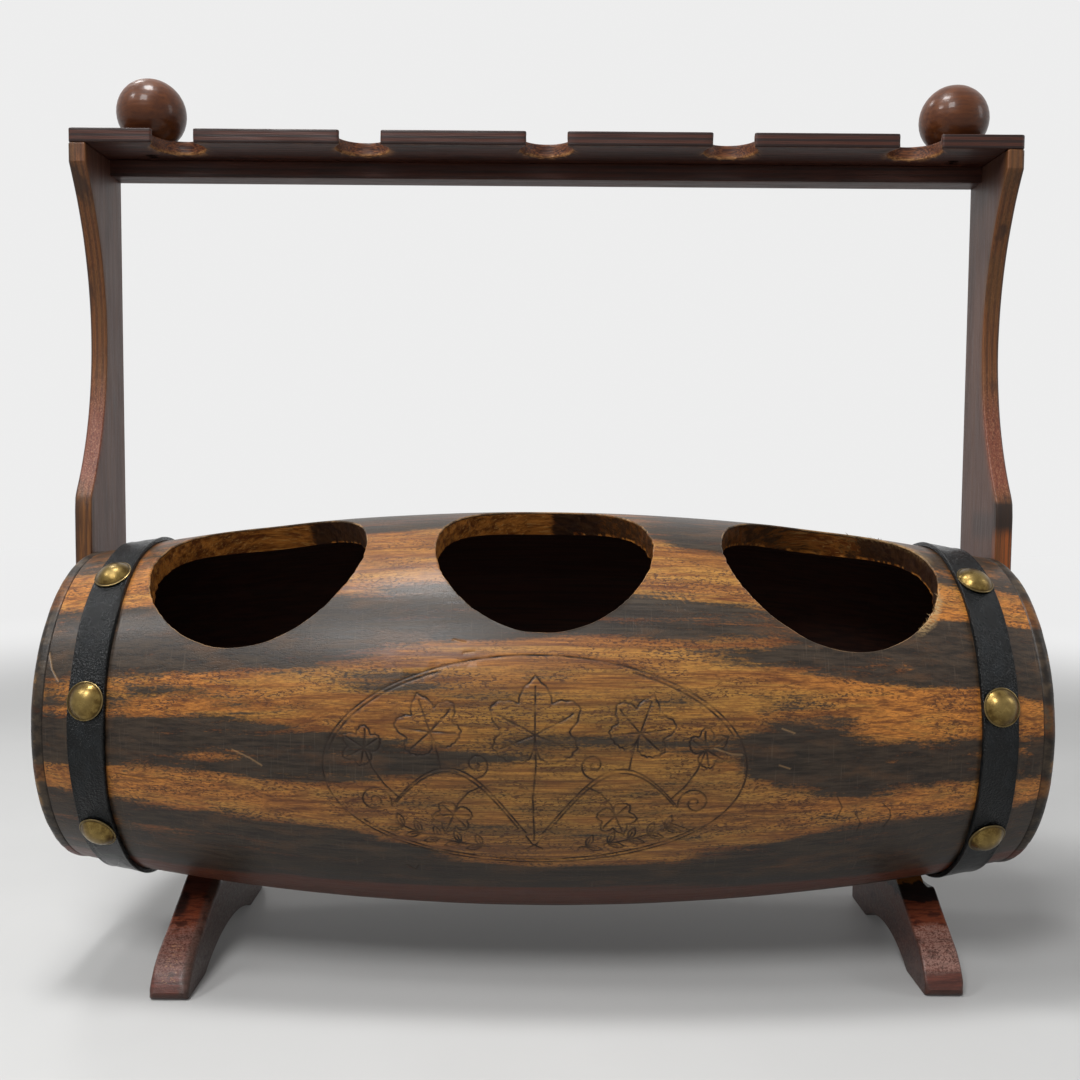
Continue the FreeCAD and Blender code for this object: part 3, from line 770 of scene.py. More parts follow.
class Network:
    """The shader nodes of one material or of the room, built up by short calls that return what flows on."""

    def __init__(self, owner, shader="Principled BSDF"):
        owner.use_nodes = True
        self.owner, self.tree = owner, owner.node_tree
        self.shader = self.tree.nodes[shader]

    def add(self, kind, inputs=(), output=0, **settings):
        """A node with these settings. Inputs are pairs of a socket's name or number and a value or a flow.
        One output is returned, or several as a list."""
        made = self.tree.nodes.new(kind)
        for word, value in settings.items():
            setattr(made, word, value)
        for word, value in inputs:
            self.wire(made.inputs[word], value)
        if isinstance(output, tuple):
            return [Flow(self, made.outputs[word]) for word in output]
        return Flow(self, made.outputs[output])

    def wire(self, socket, value):
        if isinstance(value, Flow):
            self.tree.links.new(value.output, socket)
        else:
            socket.default_value = value

    def set(self, **inputs):
        """Sets or wires the shader's own sockets. An underscore stands for a space in their names."""
        for word, value in inputs.items():
            self.wire(self.shader.inputs[word.replace("_", " ")], value)
        return self.owner

    def place(self, scale=(1, 1, 1), shift=(0, 0, 0), turn=(0, 0, 0)):
        """Object coordinates in millimetres, turned, scaled and shifted."""
        source = self.add("ShaderNodeTexCoord", output=3)
        in_metres = tuple(value / MM for value in scale)
        return self.add("ShaderNodeMapping", [("Vector", source), ("Scale", in_metres), ("Location", shift),
                                              ("Rotation", turn)])

    def parts(self):
        """The places along X, Y and Z, each on its own."""
        return self.add("ShaderNodeSeparateXYZ", [(0, self.place())], output=(0, 1, 2))

    def noise(self, sizes, detail=3.0, roughness=0.55, distortion=0.0, shift=(0, 0, 0), turn=(0, 0, 0)):
        """Noise of about 0 to 1 whose blotches have these sizes in millimetres along X, Y and Z."""
        vector = self.place(tuple(1 / size for size in sizes), shift, turn)
        return self.add("ShaderNodeTexNoise", [("Vector", vector), ("Scale", 1.0), ("Detail", detail),
                                               ("Roughness", roughness), ("Distortion", distortion)])

    def math(self, operation, first, second=0.0, clamp=False):
        return self.add("ShaderNodeMath", [(0, first), (1, second)], operation=operation, use_clamp=clamp)

    def mix(self, factor, first, second):
        """From the first colour, where the factor is zero, to the second, where it is one."""
        first, second = (linear(shade) if isinstance(shade, tuple) else shade for shade in (first, second))
        return self.add("ShaderNodeMix", [(0, factor), (6, first), (7, second)], output=2, data_type="RGBA")

    def coats(self, ground, *coats):
        """Coats of colour laid over the ground, one after another. Each is what it covers and its colour."""
        for factor, shade in coats:
            ground = self.mix(factor, ground, shade)
        return ground

    def paint(self, layer):
        return self.add("ShaderNodeAttribute", output=2, attribute_name=layer)

    def bump(self, height, distance):
        """A bump of the given height in millimetres."""
        inputs = [("Height", height), ("Distance", distance * MM), ("Strength", 1.0)]
        return self.add("ShaderNodeBump", inputs)


def new_finish(name):
    return Network(bpy.data.materials.new(name))


# %% [markdown]
# ## Finish: stained and varnished staves
# The wood is lit up by an orange stain under a satin varnish. Long noise along the barrel makes the grain,
# short noise the pores. The painted darkness is pushed about by long streaks before it chooses between the
# orange ground and the charcoal one, so that its edges run out along the grain as brush marks do. Fine
# scratches cross the grain in the dark bands, where the wood was scraped.

# %% Stave finish
orange, deep_orange, golden = (158, 102, 46), (92, 50, 22), (182, 132, 62)
olive_brown, charcoal, soft_black = (92, 70, 36), (47, 40, 32), (17, 14, 10)
red_brown, worn_wood = (84, 38, 26), (170, 134, 92)
burnt, straw = (30, 18, 10), (172, 142, 98)
wood_specular = 0.24
varnish_ior = 1.45


def stave_finish():
    made = new_finish("stained_staves")
    long_streaks = made.noise((170, 6, 6), detail=5, roughness=0.66, distortion=0.5)
    fine_streaks = made.noise((55, 1.8, 1.8), detail=5, roughness=0.66, shift=(7, 3, 1))
    fibres = made.noise((18, 0.5, 0.5), detail=3, roughness=0.6, shift=(2, 9, 5))
    pores = made.noise((2.0, 0.8, 0.8), detail=2, roughness=0.6, shift=(4, 4, 4))
    blotches = made.noise((34, 9, 9), detail=3, roughness=0.6, shift=(8, 1, 3))
    scrapes = made.noise((0.7, 16, 16), detail=3, roughness=0.5, shift=(1, 6, 2))
    specks = pores.step(0.5, 0.6) * blotches.step(0.4, 0.58, 0.2, 0.85)
    ground = made.coats(
        made.mix(fine_streaks.step(0.36, 0.66), deep_orange, orange),
        (long_streaks.step(0.42, 0.66, 0, 0.85), golden),
        (made.paint("olive") * blotches.step(0.3, 0.62, 0.3, 0.9),
         made.mix(fine_streaks.step(0.4, 0.62), olive_brown, (160, 118, 52))),
        (made.paint("bright") * fine_streaks.step(0.38, 0.6, 0.1, 0.75), (206, 132, 58)),
        (made.paint("red"), made.mix(fine_streaks, (46, 20, 15), red_brown)),
        (specks, (60, 34, 18)),
        (fibres.step(0.6, 0.4, 0, 0.5), (84, 46, 20)))
    dark_ground = made.coats(
        made.mix(fine_streaks.step(0.36, 0.66), soft_black, charcoal),
        (blotches.step(0.5, 0.7, 0, 0.5), (78, 54, 34)),
        (scrapes.step(0.6, 0.74, 0, 0.16), (112, 98, 82)))
    push = (long_streaks - 0.5) * 2.0 + (fine_streaks - 0.5) * 1.3 + (pores - 0.5) * 0.55
    burn = made.paint("burn")
    wood = made.coats(
        ground,
        ((made.paint("dark") + push).step(0.2, 0.78, 0.0, 0.97), dark_ground),
        (made.paint("lip").step(0.55, 0.9) * blotches.step(0.46, 0.6, 0.08, 0.65), worn_wood),
        (made.paint("straw") * pores.step(0.42, 0.56, 0.15, 0.9), straw),
        (burn * 0.92, burnt),
        (made.paint("bare") * 0.36, worn_wood))
    rough = fine_streaks.step(0.3, 0.7, 0.36, 0.5) + burn * 0.25
    rises = fibres * 0.6 + scrapes * 0.35 - specks * 0.5
    return made.set(Base_Color=wood, Normal=made.bump(rises, 0.1), Roughness=rough,
                    Specular_IOR_Level=wood_specular, Coat_Weight=0.12, Coat_Roughness=0.24,
                    Coat_IOR=varnish_ior)


def cut_finish():
    """The openings' walls: bare wood with torn fibres, scorched black in places."""
    made = new_finish("cut_wood")
    torn = made.noise((11, 1.0, 1.4), detail=4, roughness=0.65, distortion=0.4)
    layers = made.noise((26, 4.5, 4.5), detail=4, roughness=0.6, shift=(3, 1, 5))
    push = (layers - 0.5) * 1.5 + (torn - 0.5) * 0.9
    wood = made.coats(
        made.mix(layers.step(0.36, 0.64), (96, 50, 16), (184, 116, 48)),
        (torn.step(0.52, 0.68, 0, 0.6), (206, 156, 88)),
        (torn.step(0.46, 0.34, 0, 0.6), (52, 26, 12)),
        ((made.paint("dark") + push).step(0.3, 0.75, 0.0, 0.94), (24, 12, 8)),
        (made.paint("straw") * torn.step(0.45, 0.6), straw))
    return made.set(Base_Color=wood, Normal=made.bump(torn, 0.3),
                    Roughness=torn.step(0.3, 0.7, 0.42, 0.62), Specular_IOR_Level=wood_specular)


def inside_finish():
    """The unseen inside: raw wood browned by the stain, with the grain along the staves."""
    made = new_finish("barrel_inside")
    grain = made.noise((70, 2.5, 2.5), detail=4, roughness=0.6)
    return made.set(Base_Color=made.mix(grain.step(0.3, 0.7), (40, 21, 15), (70, 38, 25)), Roughness=0.75,
                    Normal=made.bump(grain, 0.15))


finish_piece("barrel_staves", barrel_mesh, stave_nodes,
             [stave_finish(), cut_finish(), inside_finish()])

# %% [markdown]
# ## Bodies of revolution and stacked sections
# The heads, straps, nails and balls are profiles turned about an axis. The posts, feet and the rail are
# sections stacked along a line, each section a rectangle with its own corner radii.

# %% Turned bodies and stacks
def rounded_loop(low_u, high_u, low_v, high_v, radii, arc_steps=4, side_steps=6):
    """Rectangles with rounded corners, one row for each entry of the arrays. The corners start at high u and
    high v and go round to the left; between them the sides are divided evenly."""
    edges = (np.atleast_1d(np.asarray(value, float)) for value in (low_u, high_u, low_v, high_v))
    low_u, high_u, low_v, high_v = np.broadcast_arrays(*edges)
    room = np.minimum(high_u - low_u, high_v - low_v) * 0.49
    corners = []
    for quarter, radius in enumerate(radii):
        size = np.minimum(radius, room)[:, None]
        turn = (quarter + np.linspace(0, 1, arc_steps + 1)) * np.pi / 2
        u = (high_u[:, None] - size) if quarter in (0, 3) else (low_u[:, None] + size)
        v = (high_v[:, None] - size) if quarter in (0, 1) else (low_v[:, None] + size)
        corners.append(np.stack([u + size * np.cos(turn), v + size * np.sin(turn)], axis=-1))
    loop = []
    for corner, following in zip(corners, corners[1:] + corners[:1]):
        share = np.linspace(0, 1, side_steps + 1)[1:-1, None]
        side = corner[:, -1:] * (1 - share) + following[:, :1] * share
        loop += [corner, side]
    return np.concatenate(loop, axis=1)


def stacked(loops, stations, axis):
    """Loops of two coordinates set at their stations along the third one, which is the given axis."""
    return np.insert(loops, axis, stations[:, None], axis=2)


def capped(points):
    """A stack of loops closed at both ends: the end loops shrink in three steps to their middles."""
    ends = []
    for loop in (points[0], points[-1]):
        middle = loop.mean(axis=0)
        ends.append(np.stack([middle + (loop - middle) * share for share in (0, 0.4, 0.8)]))
    return np.concatenate([ends[0], points, ends[1][::-1]])


# %% [markdown]
# ## Heads
# A head closes each end of the barrel: a flat disc with a worn, rounded rim and a thin dark joint where it
# meets the staves. Its rim carries on the stain of the staves. Its face, which the bottles' bottoms rest
# against on the inside, is stained like the posts.

# %% Heads
head_thickness = 7.0
rim_rounding = 4.0
stain_end = 249

# The joint's groove: places outwards from the staves, and how far each lies inside the end's radius
joint_across = [0, 0.05, 0.3, 0.55, 0.9, 2.0]
joint_inside = np.array([2.4, 0.5, 0.45, 0.2, 0.06, 0.05])


def head_sheets(word):
    """The profile runs from the inner middle out to the joint's groove, over the rim and back to the
    middle."""
    side = sides[word]
    quarter = np.linspace(0, np.pi / 2, 9)
    rim_across = head_thickness - rim_rounding * (1 - np.sin(quarter))
    rim_radii = end_radius - joint_inside[-1] - rim_rounding * (1 - np.cos(quarter))
    face_radii = [end_radius - rim_rounding - 1.0, 76, 70, 60, 45, 30, 15, 0]
    across = np.concatenate([[0, 0], joint_across, rim_across, [head_thickness] * len(face_radii)])
    radii = np.concatenate([[0, 40], end_radius - joint_inside, rim_radii, face_radii])
    angles = np.linspace(0, 360, 181)[:-1, None]
    x, turn = side * (half_length + across), np.radians(angles)
    points = round_axis(x, radii, turn)
    worn = 0.3 * np.clip(wobble(points, 9, seed=40 + side), 0, 1) * step(3, 6, across) * step(60, 80, radii)
    points = round_axis(x, radii - worn * step(0, 1, radii), turn)
    joint = step(0.9, 0.3, across) * step(70, 80, radii)
    rim = step(3.2, 5.2, across) * step(76, 80, radii)
    return [sheet(points, close_rows=True, disc=step(78, 70, radii), joint=joint, rim=rim,
                  **stain(np.clip(points[..., 0], -stain_end, stain_end), angles))]


def head_finish():
    made = new_finish("stained_heads")
    grain = made.noise((8, 1.8, 90), detail=4, roughness=0.6, distortion=0.3)
    pores = made.noise((2.2, 1.2, 1.2), detail=2, shift=(1, 1, 7))
    blotches = made.noise((9, 7, 7), detail=4, roughness=0.65, shift=(3, 8, 2))
    push = (blotches - 0.5) * 2.0
    face = made.coats(
        made.mix(grain.step(0.3, 0.68), (46, 22, 16), (100, 50, 30)),
        (blotches.step(0.5, 0.75, 0, 0.6), (34, 20, 16)))
    wood = made.coats(
        made.mix(blotches.step(0.35, 0.66), (66, 36, 16), (118, 76, 34)),
        (made.paint("red"), red_brown),
        (pores.step(0.5, 0.6, 0, 0.5), (52, 32, 18)),
        ((made.paint("dark") + push).step(0.05, 0.6, 0.0, 0.95),
         made.mix(blotches.step(0.4, 0.65), soft_black, (56, 48, 38))),
        (made.paint("rim") * blotches.step(0.54, 0.68, 0, 0.5), (150, 108, 56)),
        (made.paint("disc"), face),
        (made.paint("joint") * 0.5, (16, 9, 7)))
    return made.set(Base_Color=wood, Normal=made.bump(pores, 0.12),
                    Roughness=pores.step(0.3, 0.7, 0.36, 0.52), Specular_IOR_Level=wood_specular)


make_pair("barrel_head", head_sheets, "head", head_finish())

# %% [markdown]
# ## Straps
# Each strap is a flat band of black leather round the barrel near its end. Its cut edges stand up a little,
# because the leather was drawn tight in the middle, so the profile has two low beads.

# %% Straps
strap_inner, strap_outer = 210.0, 229.0
strap_middle = (strap_inner + strap_outer) / 2
strap_clearance, strap_thickness = 0.15, 2.5
degree_near_end = 1.6
bead_rise, bead_width = 0.35, 1.6


def on_bow(station, angle, lift):
    """Points that lie lift above the barrel's face, square to it, at these stations and angles in
    degrees."""
    station, turn, lift = np.broadcast_arrays(np.asarray(station, float), np.radians(angle), lift)
    lean = np.arcsin(station / bow_radius)
    radius = (bow_radius + lift) * np.cos(lean) - (bow_radius - middle_radius)
    return np.stack([(bow_radius + lift) * np.sin(lean), -radius * np.sin(turn),
                     axis_height + radius * np.cos(turn)], axis=-1)


def strap_sheets(word):
    side = sides[word]
    angles = np.linspace(0, 360, 241)[:-1, None]
    top = strap_clearance + strap_thickness
    loop = rounded_loop(strap_inner, strap_outer, strap_clearance, top, (0.8, 0.8, 0.3, 0.3), 4, 14)[0]
    station, lift = loop.T
    from_edge = np.minimum(station - strap_inner, strap_outer - station)
    upper = step(top - 1.2, top - 0.2, lift)
    place = np.stack(np.broadcast_arrays(station, angles * degree_near_end, 0.0), axis=-1)
    stretch = 0.12 * (1 + wobble(place, (9, 26, 9), seed=50 + side))
    edge = 0.25 * (1 + wobble(place, (90, 30, 9), seed=60 + side)) * step(3, 0, from_edge)
    station = station + edge * np.sign(strap_middle - station)
    lift = lift - upper * (bead_rise * step(0.4, bead_width, from_edge) + stretch)
    beads = upper * step(bead_width, 0.5, from_edge)
    return [sheet(on_bow(side * station, angles, lift), close_rows=True, close_columns=True, bead=beads)]


def leather_finish():
    made = new_finish("strap_leather")
    pebble = made.noise((1.0, 1.0, 1.0), detail=2, roughness=0.5)
    creases = made.noise((5, 2.2, 2.2), detail=3, roughness=0.6, shift=(3, 1, 2))
    worn = made.noise((7, 9, 9), detail=3, shift=(2, 2, 6))
    black = made.coats(made.mix(worn.step(0.4, 0.7), (12, 14, 15), (21, 24, 26)),
                       (made.paint("bead") * 0.6, (9, 9, 9)))
    rises = pebble * 0.9 + creases * 0.3
    return made.set(Base_Color=black, Normal=made.bump(rises, 0.9),
                    Roughness=worn.step(0.3, 0.7, 0.16, 0.24), Specular_IOR_Level=0.17)


make_pair("strap_band", strap_sheets, "strap", leather_finish())

# %% [markdown]
# ## Dome nails
# Six nails hold each strap, three in front and three behind. A nail is a thin domed cap of antique brass
# with a flat flange. The same small grid, a profile turned about its own axis, is set at all six places,
# with its dents in other places each time.

# %% Dome nails
nail_height, cap_radius, cap_foot = 5.0, 8.5, 0.75
nail_angles = [33.5, 78.5, 123.5, 213.5, 258.5, 303.5]
flange = [(0, -0.5), (8.6, -0.5), (9.2, -0.3), (9.5, 0.1), (9.46, 0.4), (9.2, 0.56), (8.9, 0.58),
          (8.66, 0.55)]


def nail_profile():
    """Radius and height from the underside's middle round the flange and a narrow ring up to the crown."""
    rise = nail_height - cap_foot
    ball = (cap_radius ** 2 + rise ** 2) / (2 * rise)
    turn = np.linspace(np.arcsin(cap_radius / ball), 0, 16)
    cap = np.stack([ball * np.sin(turn), nail_height - ball * (1 - np.cos(turn))], axis=1)
    return np.concatenate([flange, cap]).T


def nail_sheets(word):
    side = sides[word]
    radius, height = nail_profile()
    turn = np.linspace(0, 2 * np.pi, 41)[:-1, None]
    across, up = radius * np.cos(turn), radius * np.sin(turn)
    made = []
    for number, angle in enumerate(nail_angles):
        seat = on_bow(side * strap_middle, angle, strap_clearance + strap_thickness)
        outward = on_bow(side * strap_middle, angle, strap_clearance + strap_thickness + 1) - seat
        round_way = on_bow(side * strap_middle, angle + 1, 0) - on_bow(side * strap_middle, angle, 0)
        round_way /= np.linalg.norm(round_way)
        along_way = np.cross(round_way, outward)
        flat = np.stack(np.broadcast_arrays(across, up, number * 40.0), axis=-1)
        dent = 0.1 * (1 + wobble(flat, 5, seed=70 + side)) * step(0.5, 2, height)
        points = (seat + across[..., None] * along_way + up[..., None] * round_way
                  + (height - dent)[..., None] * outward)
        ring = step(1.1, 0.5, height) * step(9.3, 8.9, radius) * step(7, 8, radius)
        made.append(sheet(points, close_rows=True, ring=ring, flange=step(8.8, 9.1, radius),
                          crown=step(2.0, 4.8, height)))
    return made


def brass_finish():
    made = new_finish("antique_brass")
    tarnish = made.noise((3.5, 3.5, 3.5), detail=4, roughness=0.65)
    rubbed = made.noise((0.8, 0.8, 0.8), detail=3, shift=(4, 4, 1))
    metal = made.coats(
        made.mix(tarnish.step(0.35, 0.68), (78, 61, 32), (122, 102, 58)),
        (made.paint("crown") * 0.45, (142, 122, 76)),
        (made.paint("flange") * 0.5, (120, 106, 76)),
        (made.paint("ring") * 0.55, (40, 31, 18)))
    return made.set(Base_Color=metal, Metallic=1.0, Roughness=tarnish.step(0.3, 0.7, 0.4, 0.24),
                    Normal=made.bump(rubbed, 0.02))


make_pair("dome_nails", nail_sheets, "strap_nails", brass_finish())

# %% [markdown]
# ## Posts
# The posts are cut from plywood: square at the top, drawn in to a waist, and out again to a corner above the
# barrel. Seen from the side, the front edge is two arcs that meet at the waist, and the corner below them is
# sanded round. A section of the post is a rectangle, and its front edge moves back as the stack climbs.

# %% Posts
post_low, post_high = node_box("post_right")
post_depth, shelf_bottom = post_high[1], post_high[2]
post_foot, post_corner = post_low[2], 8.0
square_top, waist_depth = 10.3, 27.4
scallop_top = shelf_bottom - square_top
corner_above_barrel, waist_share = 29.5, 0.496
scallop_foot = axis_height + end_radius + corner_above_barrel
waist_height = scallop_foot + waist_share * (scallop_top - scallop_foot)
corner_sanding = 5.0
edge_break = 0.6
post_layer = 1.55


def waist_arc(height, end_height):
    """How far back the edge lies at a height on the arc that is upright at the waist and ends at the
    front."""
    rise = end_height - waist_height
    radius = (waist_depth ** 2 + rise ** 2) / (2 * waist_depth)
    gone = np.clip(np.abs(height - waist_height), 0, abs(rise))
    return waist_depth - radius + np.sqrt(radius ** 2 - gone ** 2)


def post_front(height):
    """The front edge: upright, then the two arcs, with sanded corners and a rounded one at the foot."""
    front = np.where(height > waist_height, waist_arc(height, scallop_top),
                     waist_arc(height, scallop_foot))
    front = np.where((height > scallop_top) | (height < scallop_foot), 0, front)
    front = front + 0.8 * np.clip(1 - np.abs(height - scallop_foot) / corner_sanding, 0, 1) ** 2
    below = np.clip(post_foot + post_corner - height, 0, post_corner)
    return front + post_corner - np.sqrt(post_corner ** 2 - below ** 2)


def post_sheets(word):
    side = sides[word]
    ends = np.array([0, 0.25, 0.8])
    heights = np.unique(np.concatenate([
        post_foot + ends, np.linspace(post_foot + 1.4, post_foot + post_corner, 7),
        np.linspace(post_foot + post_corner, scallop_foot, 14), np.linspace(scallop_foot, scallop_top, 76),
        [scallop_top + 0.3], np.linspace(scallop_top + 1, shelf_bottom - 1, 5), shelf_bottom - ends]))
    from_end = np.minimum(heights - post_foot, shelf_bottom - heights)
    inset = edge_break * (1 - np.clip(from_end / ends[-1], 0, 1)) ** 2
    edge_front = post_front(heights)
    edge_back = post_depth - edge_front * (heights < post_foot + post_corner)
    loop = rounded_loop(abs(post_low[0]) + inset, abs(post_high[0]) - inset, edge_front + inset,
                        edge_back - inset, (1.0, 0.8, 1.0, 1.8), 5, 9)
    points = stacked(loop, heights, 2)
    dip = 0.12 * (1 + wobble(points + (0, 0, 300 * side), (6, 12, 30), seed=80 + side))
    front = step(6, 1, points[..., 1] - edge_front[:, None])
    points[..., 1] += dip * front * (points[..., 1] < post_depth - 1)
    points[..., 0] *= side
    edge = np.pad(front, ((3, 3), (0, 0)))
    return [sheet(capped(points), close_columns=True, edge=edge, right=float(side > 0))]


def plywood(made, layers, streaks, light, dark, seam):
    """The look of a cut plywood edge: layers of two tones with thin dark seams, blurred by the streaks."""
    waver = layers + streaks * 0.35
    tone = made.mix(made.math("PINGPONG", waver, 1.0).step(0.3, 0.7), light, dark)
    return made.mix(made.math("FRACT", waver).step(0.16, 0.04) * streaks.step(0.3, 0.6), tone, seam)


def post_finish():
    """The face is plain brown. The edge shows the layers, stained in zones from the top down: reddish and
    pale stippled above the corner, blackened just below it, and striped where the right post meets the
    barrel."""
    made = new_finish("post_plywood")
    grain = made.noise((2.4, 2.6, 90), detail=4, roughness=0.62, distortion=0.3)
    broad = made.noise((9, 9, 120), detail=4, roughness=0.6, shift=(4, 7, 2))
    fine = made.noise((0.8, 0.8, 24), detail=3, roughness=0.6, shift=(2, 5, 1))
    pores = made.noise((0.55, 0.55, 1.1), detail=3, roughness=0.7, shift=(3, 3, 3))
    patches = made.noise((14, 14, 46), detail=3, roughness=0.6, shift=(6, 2, 8))
    across, inwards, height = made.parts()
    right = made.paint("right")
    smudge = height.step(224, 232) * height.step(246, 238) * (inwards.step(40, 30) * right)
    face = made.coats(
        made.mix(broad.step(0.3, 0.7), (80, 50, 40), (106, 74, 60)),
        (grain.step(0.5, 0.72, 0, 0.35), (58, 36, 30)),
        (right.step(0, 1, 0, 0.45), (58, 38, 30)),
        (patches.step(0.54, 0.7, 0, 0.4), (60, 38, 30)),
        (smudge * 0.6, (46, 38, 36)))
    reddish = height.step(246, 262) * height.step(322, 285)
    stipple = pores.step(0.5, 0.62) * height.step(246, 256, 0.1, 0.62)
    low_block = height.step(248, 245, 0, 0.75) * right.step(0, 1, 1.0, 0.5)
    blackened = height.step(250, 247) * height.step(226, 236, 0.1, 1.0) * right.step(0.0, 1.0, 0.2, 0.9)
    striped = height.step(236, 228) * grain.step(0.46, 0.54, 0.1, 0.8)
    edge = made.coats(
        plywood(made, abs(across) * (1 / post_layer), grain, (108, 66, 34), (82, 48, 25), (30, 17, 11)),
        (broad.step(0.42, 0.6, 0, 0.5), (90, 62, 33)),
        (reddish * 0.75, (104, 50, 38)),
        (stipple * height.step(335, 290, 0.15, 1.0), (158, 112, 84)),
        (low_block, made.mix(grain.step(0.38, 0.62), (58, 34, 20), (124, 80, 40))),
        (fine.step(0.5, 0.68, 0, 0.5), (60, 30, 18)),
        (patches.step(0.56, 0.68, 0, 0.7), (40, 24, 17)),
        (blackened, (26, 19, 16)),
        (striped * right, (150, 78, 34)),
        # Painted shade: the outer rounded corner of the front edge is darkened where it turns away from the
        # light.
        (abs(across).step(258.0, 259.3, 0, 0.7), (33, 19, 14)))
    rises = pores * 0.8 + fine * 0.6
    return made.set(Base_Color=made.mix(made.paint("edge"), face, edge), Normal=made.bump(rises, 0.2),
                    Roughness=fine.step(0.3, 0.7, 0.36, 0.52), Specular_IOR_Level=wood_specular,
                    Coat_Weight=0.1, Coat_Roughness=0.3, Coat_IOR=varnish_ior)


make_pair("rack_post", post_sheets, "post", post_finish())

# %% [markdown]
# ## Shelf
# Five keyhole notches take the stems of the glasses. The plan is built from five equal blocks, one round
# each notch, and a strip at each end. The wall of a block is its outline carried down through the thickness,
# and the outline moves inwards near the top and the bottom, which rounds the edges. The saw left the notches
# ragged.

# %% Shelf
shelf_half, _, shelf_top = node_box("shelf")[1]
notch_radius, mouth_width, stem_spacing = 14.5, 17.4, 101.5
notch_centre = np.sqrt(notch_radius ** 2 - (mouth_width / 2) ** 2)
mouth_rounding, shelf_edge, shelf_layer = 1.6, 0.7, 1.5
block_half = stem_spacing / 2
side_steps = 13
wall_depths = np.array([0, 0.12, 0.35, 0.7, 1.6, 2.7, 3.85, 5.0, 6.1, 7.0, 7.35, 7.58, 7.7])


def arc_points(centre, radius, start, end, steps):
    turn = np.radians(np.linspace(start, end, steps + 1))
    return np.stack([centre[0] + radius * np.cos(turn), centre[1] + radius * np.sin(turn)], axis=-1)


def straight(start, end, steps):
    share = np.linspace(0, 1, steps + 1)[:, None]
    return np.asarray(start, float) * (1 - share) + np.asarray(end, float) * share


def notch_outline(inset):
    """From the block's left border along the front edge, round the notch and on to the right border."""
    corner_x = np.sqrt((notch_radius + mouth_rounding) ** 2 - (notch_centre - mouth_rounding) ** 2)
    lean = np.degrees(np.arctan2(notch_centre - mouth_rounding, corner_x))
    left = [straight((-block_half, inset), (-corner_x, inset), 9),
            arc_points((-corner_x, mouth_rounding), mouth_rounding - inset, -90, lean, 5),
            arc_points((0, notch_centre), notch_radius + inset, 180 + lean, 90, 18)]
    half = np.concatenate([left[0], left[1][1:], left[2][1:]])
    return np.concatenate([half, half[-2::-1] * (-1, 1)])


back_steps = len(notch_outline(0)) - 1 - 2 * side_steps


def block_back(inset):
    back = post_depth - inset
    return straight((-block_half, back), (block_half, back), back_steps)


def block_border(inset):
    """From the block's front left corner round the back to the front right one, in as many steps as the
    notch's outline."""
    back = block_back(inset)
    return np.concatenate([straight((-block_half, inset), back[0], side_steps), back[1:],
                           straight(back[-1], (block_half, inset), side_steps)[1:]])


def end_outline(inset, inner, outer, corner=2.2):
    """From the last block's border round the shelf's end to the back, with rounded corners."""
    front = straight((inner, inset), (outer - corner, inset), 1)
    first = arc_points((outer - corner, corner), corner - inset, -90, 0, 3)
    last = arc_points((outer - corner, post_depth - corner), corner - inset, 0, 90, 3)
    run = straight(first[-1], last[0], 5)
    back = straight(last[-1], (inner, post_depth - inset), 1)
    return np.concatenate([front, first[1:], run[1:], last[1:], back[1:]])


def shelf_walls(outline):
    """Rows of the outline from the top to the bottom face, moved inwards near both to round the edges."""
    depths = wall_depths * (shelf_top - shelf_bottom) / wall_depths[-1]
    from_face = np.minimum(depths, depths[-1] - depths)
    rounding = shelf_edge * (1 - np.sqrt(1 - (1 - np.clip(from_face / shelf_edge, 0, 1)) ** 2))
    return stacked(np.stack([outline(inset) for inset in rounding]), shelf_top - depths, 2)


def roughened(rows, station):
    """A block's wall set at its station, ragged from the saw inside the notch and uneven elsewhere."""
    rows = rows + (station, 0, 0)
    off_middle = np.abs(rows[..., 0] - station)
    out = np.gradient(rows[..., :2], axis=1)
    normal = np.stack([-out[..., 1], out[..., 0]], axis=-1)
    normal /= np.linalg.norm(normal, axis=-1, keepdims=True) + 1e-9
    in_notch = step(0.5, 3, rows[..., 1]) * (off_middle < notch_radius + 2)
    saw = 0.28 * in_notch * np.clip(wobble(rows, (2.2, 2.2, 1.6), seed=90), 0, 1)
    hand = 0.1 * (1 + wobble(rows, (14, 14, 5), seed=91)) * step(0, 3, block_half - off_middle)
    rows[..., :2] += normal * (saw + hand)[..., None]
    return rows


def flat_sheet(row, border, steps):
    """A flat face at the row's height between the row and a border of as many points."""
    share = np.linspace(0, 1, steps + 1)[:, None, None]
    return np.insert(row[None, :, :2] * (1 - share) + border * share, 2, row[0, 2], axis=2)


def shelf_sheets():
    made = []
    for station in stem_spacing * np.arange(-2, 3):
        walls = roughened(shelf_walls(notch_outline), station)
        made.append(sheet(walls, cut=1.0, notch=step(0.3, 2, walls[..., 1])))
        border = block_border(shelf_edge) + (station, 0)
        made += [sheet(flat_sheet(row, border, 5)) for row in (walls[0], walls[-1])]
        made.append(sheet(shelf_walls(block_back) + (station, 0, 0), cut=1.0))
    inner = 2.5 * stem_spacing
    walls = shelf_walls(lambda inset: end_outline(inset, inner, shelf_half))
    border = straight((inner, shelf_edge), (inner, post_depth - shelf_edge), side_steps)
    for mirror_x in ((-1, 1, 1), (1, 1, 1)):
        made.append(sheet(walls * mirror_x, cut=1.0))
        made += [sheet(flat_sheet(row, border, 1) * mirror_x) for row in (walls[0], walls[-1])]
    return made


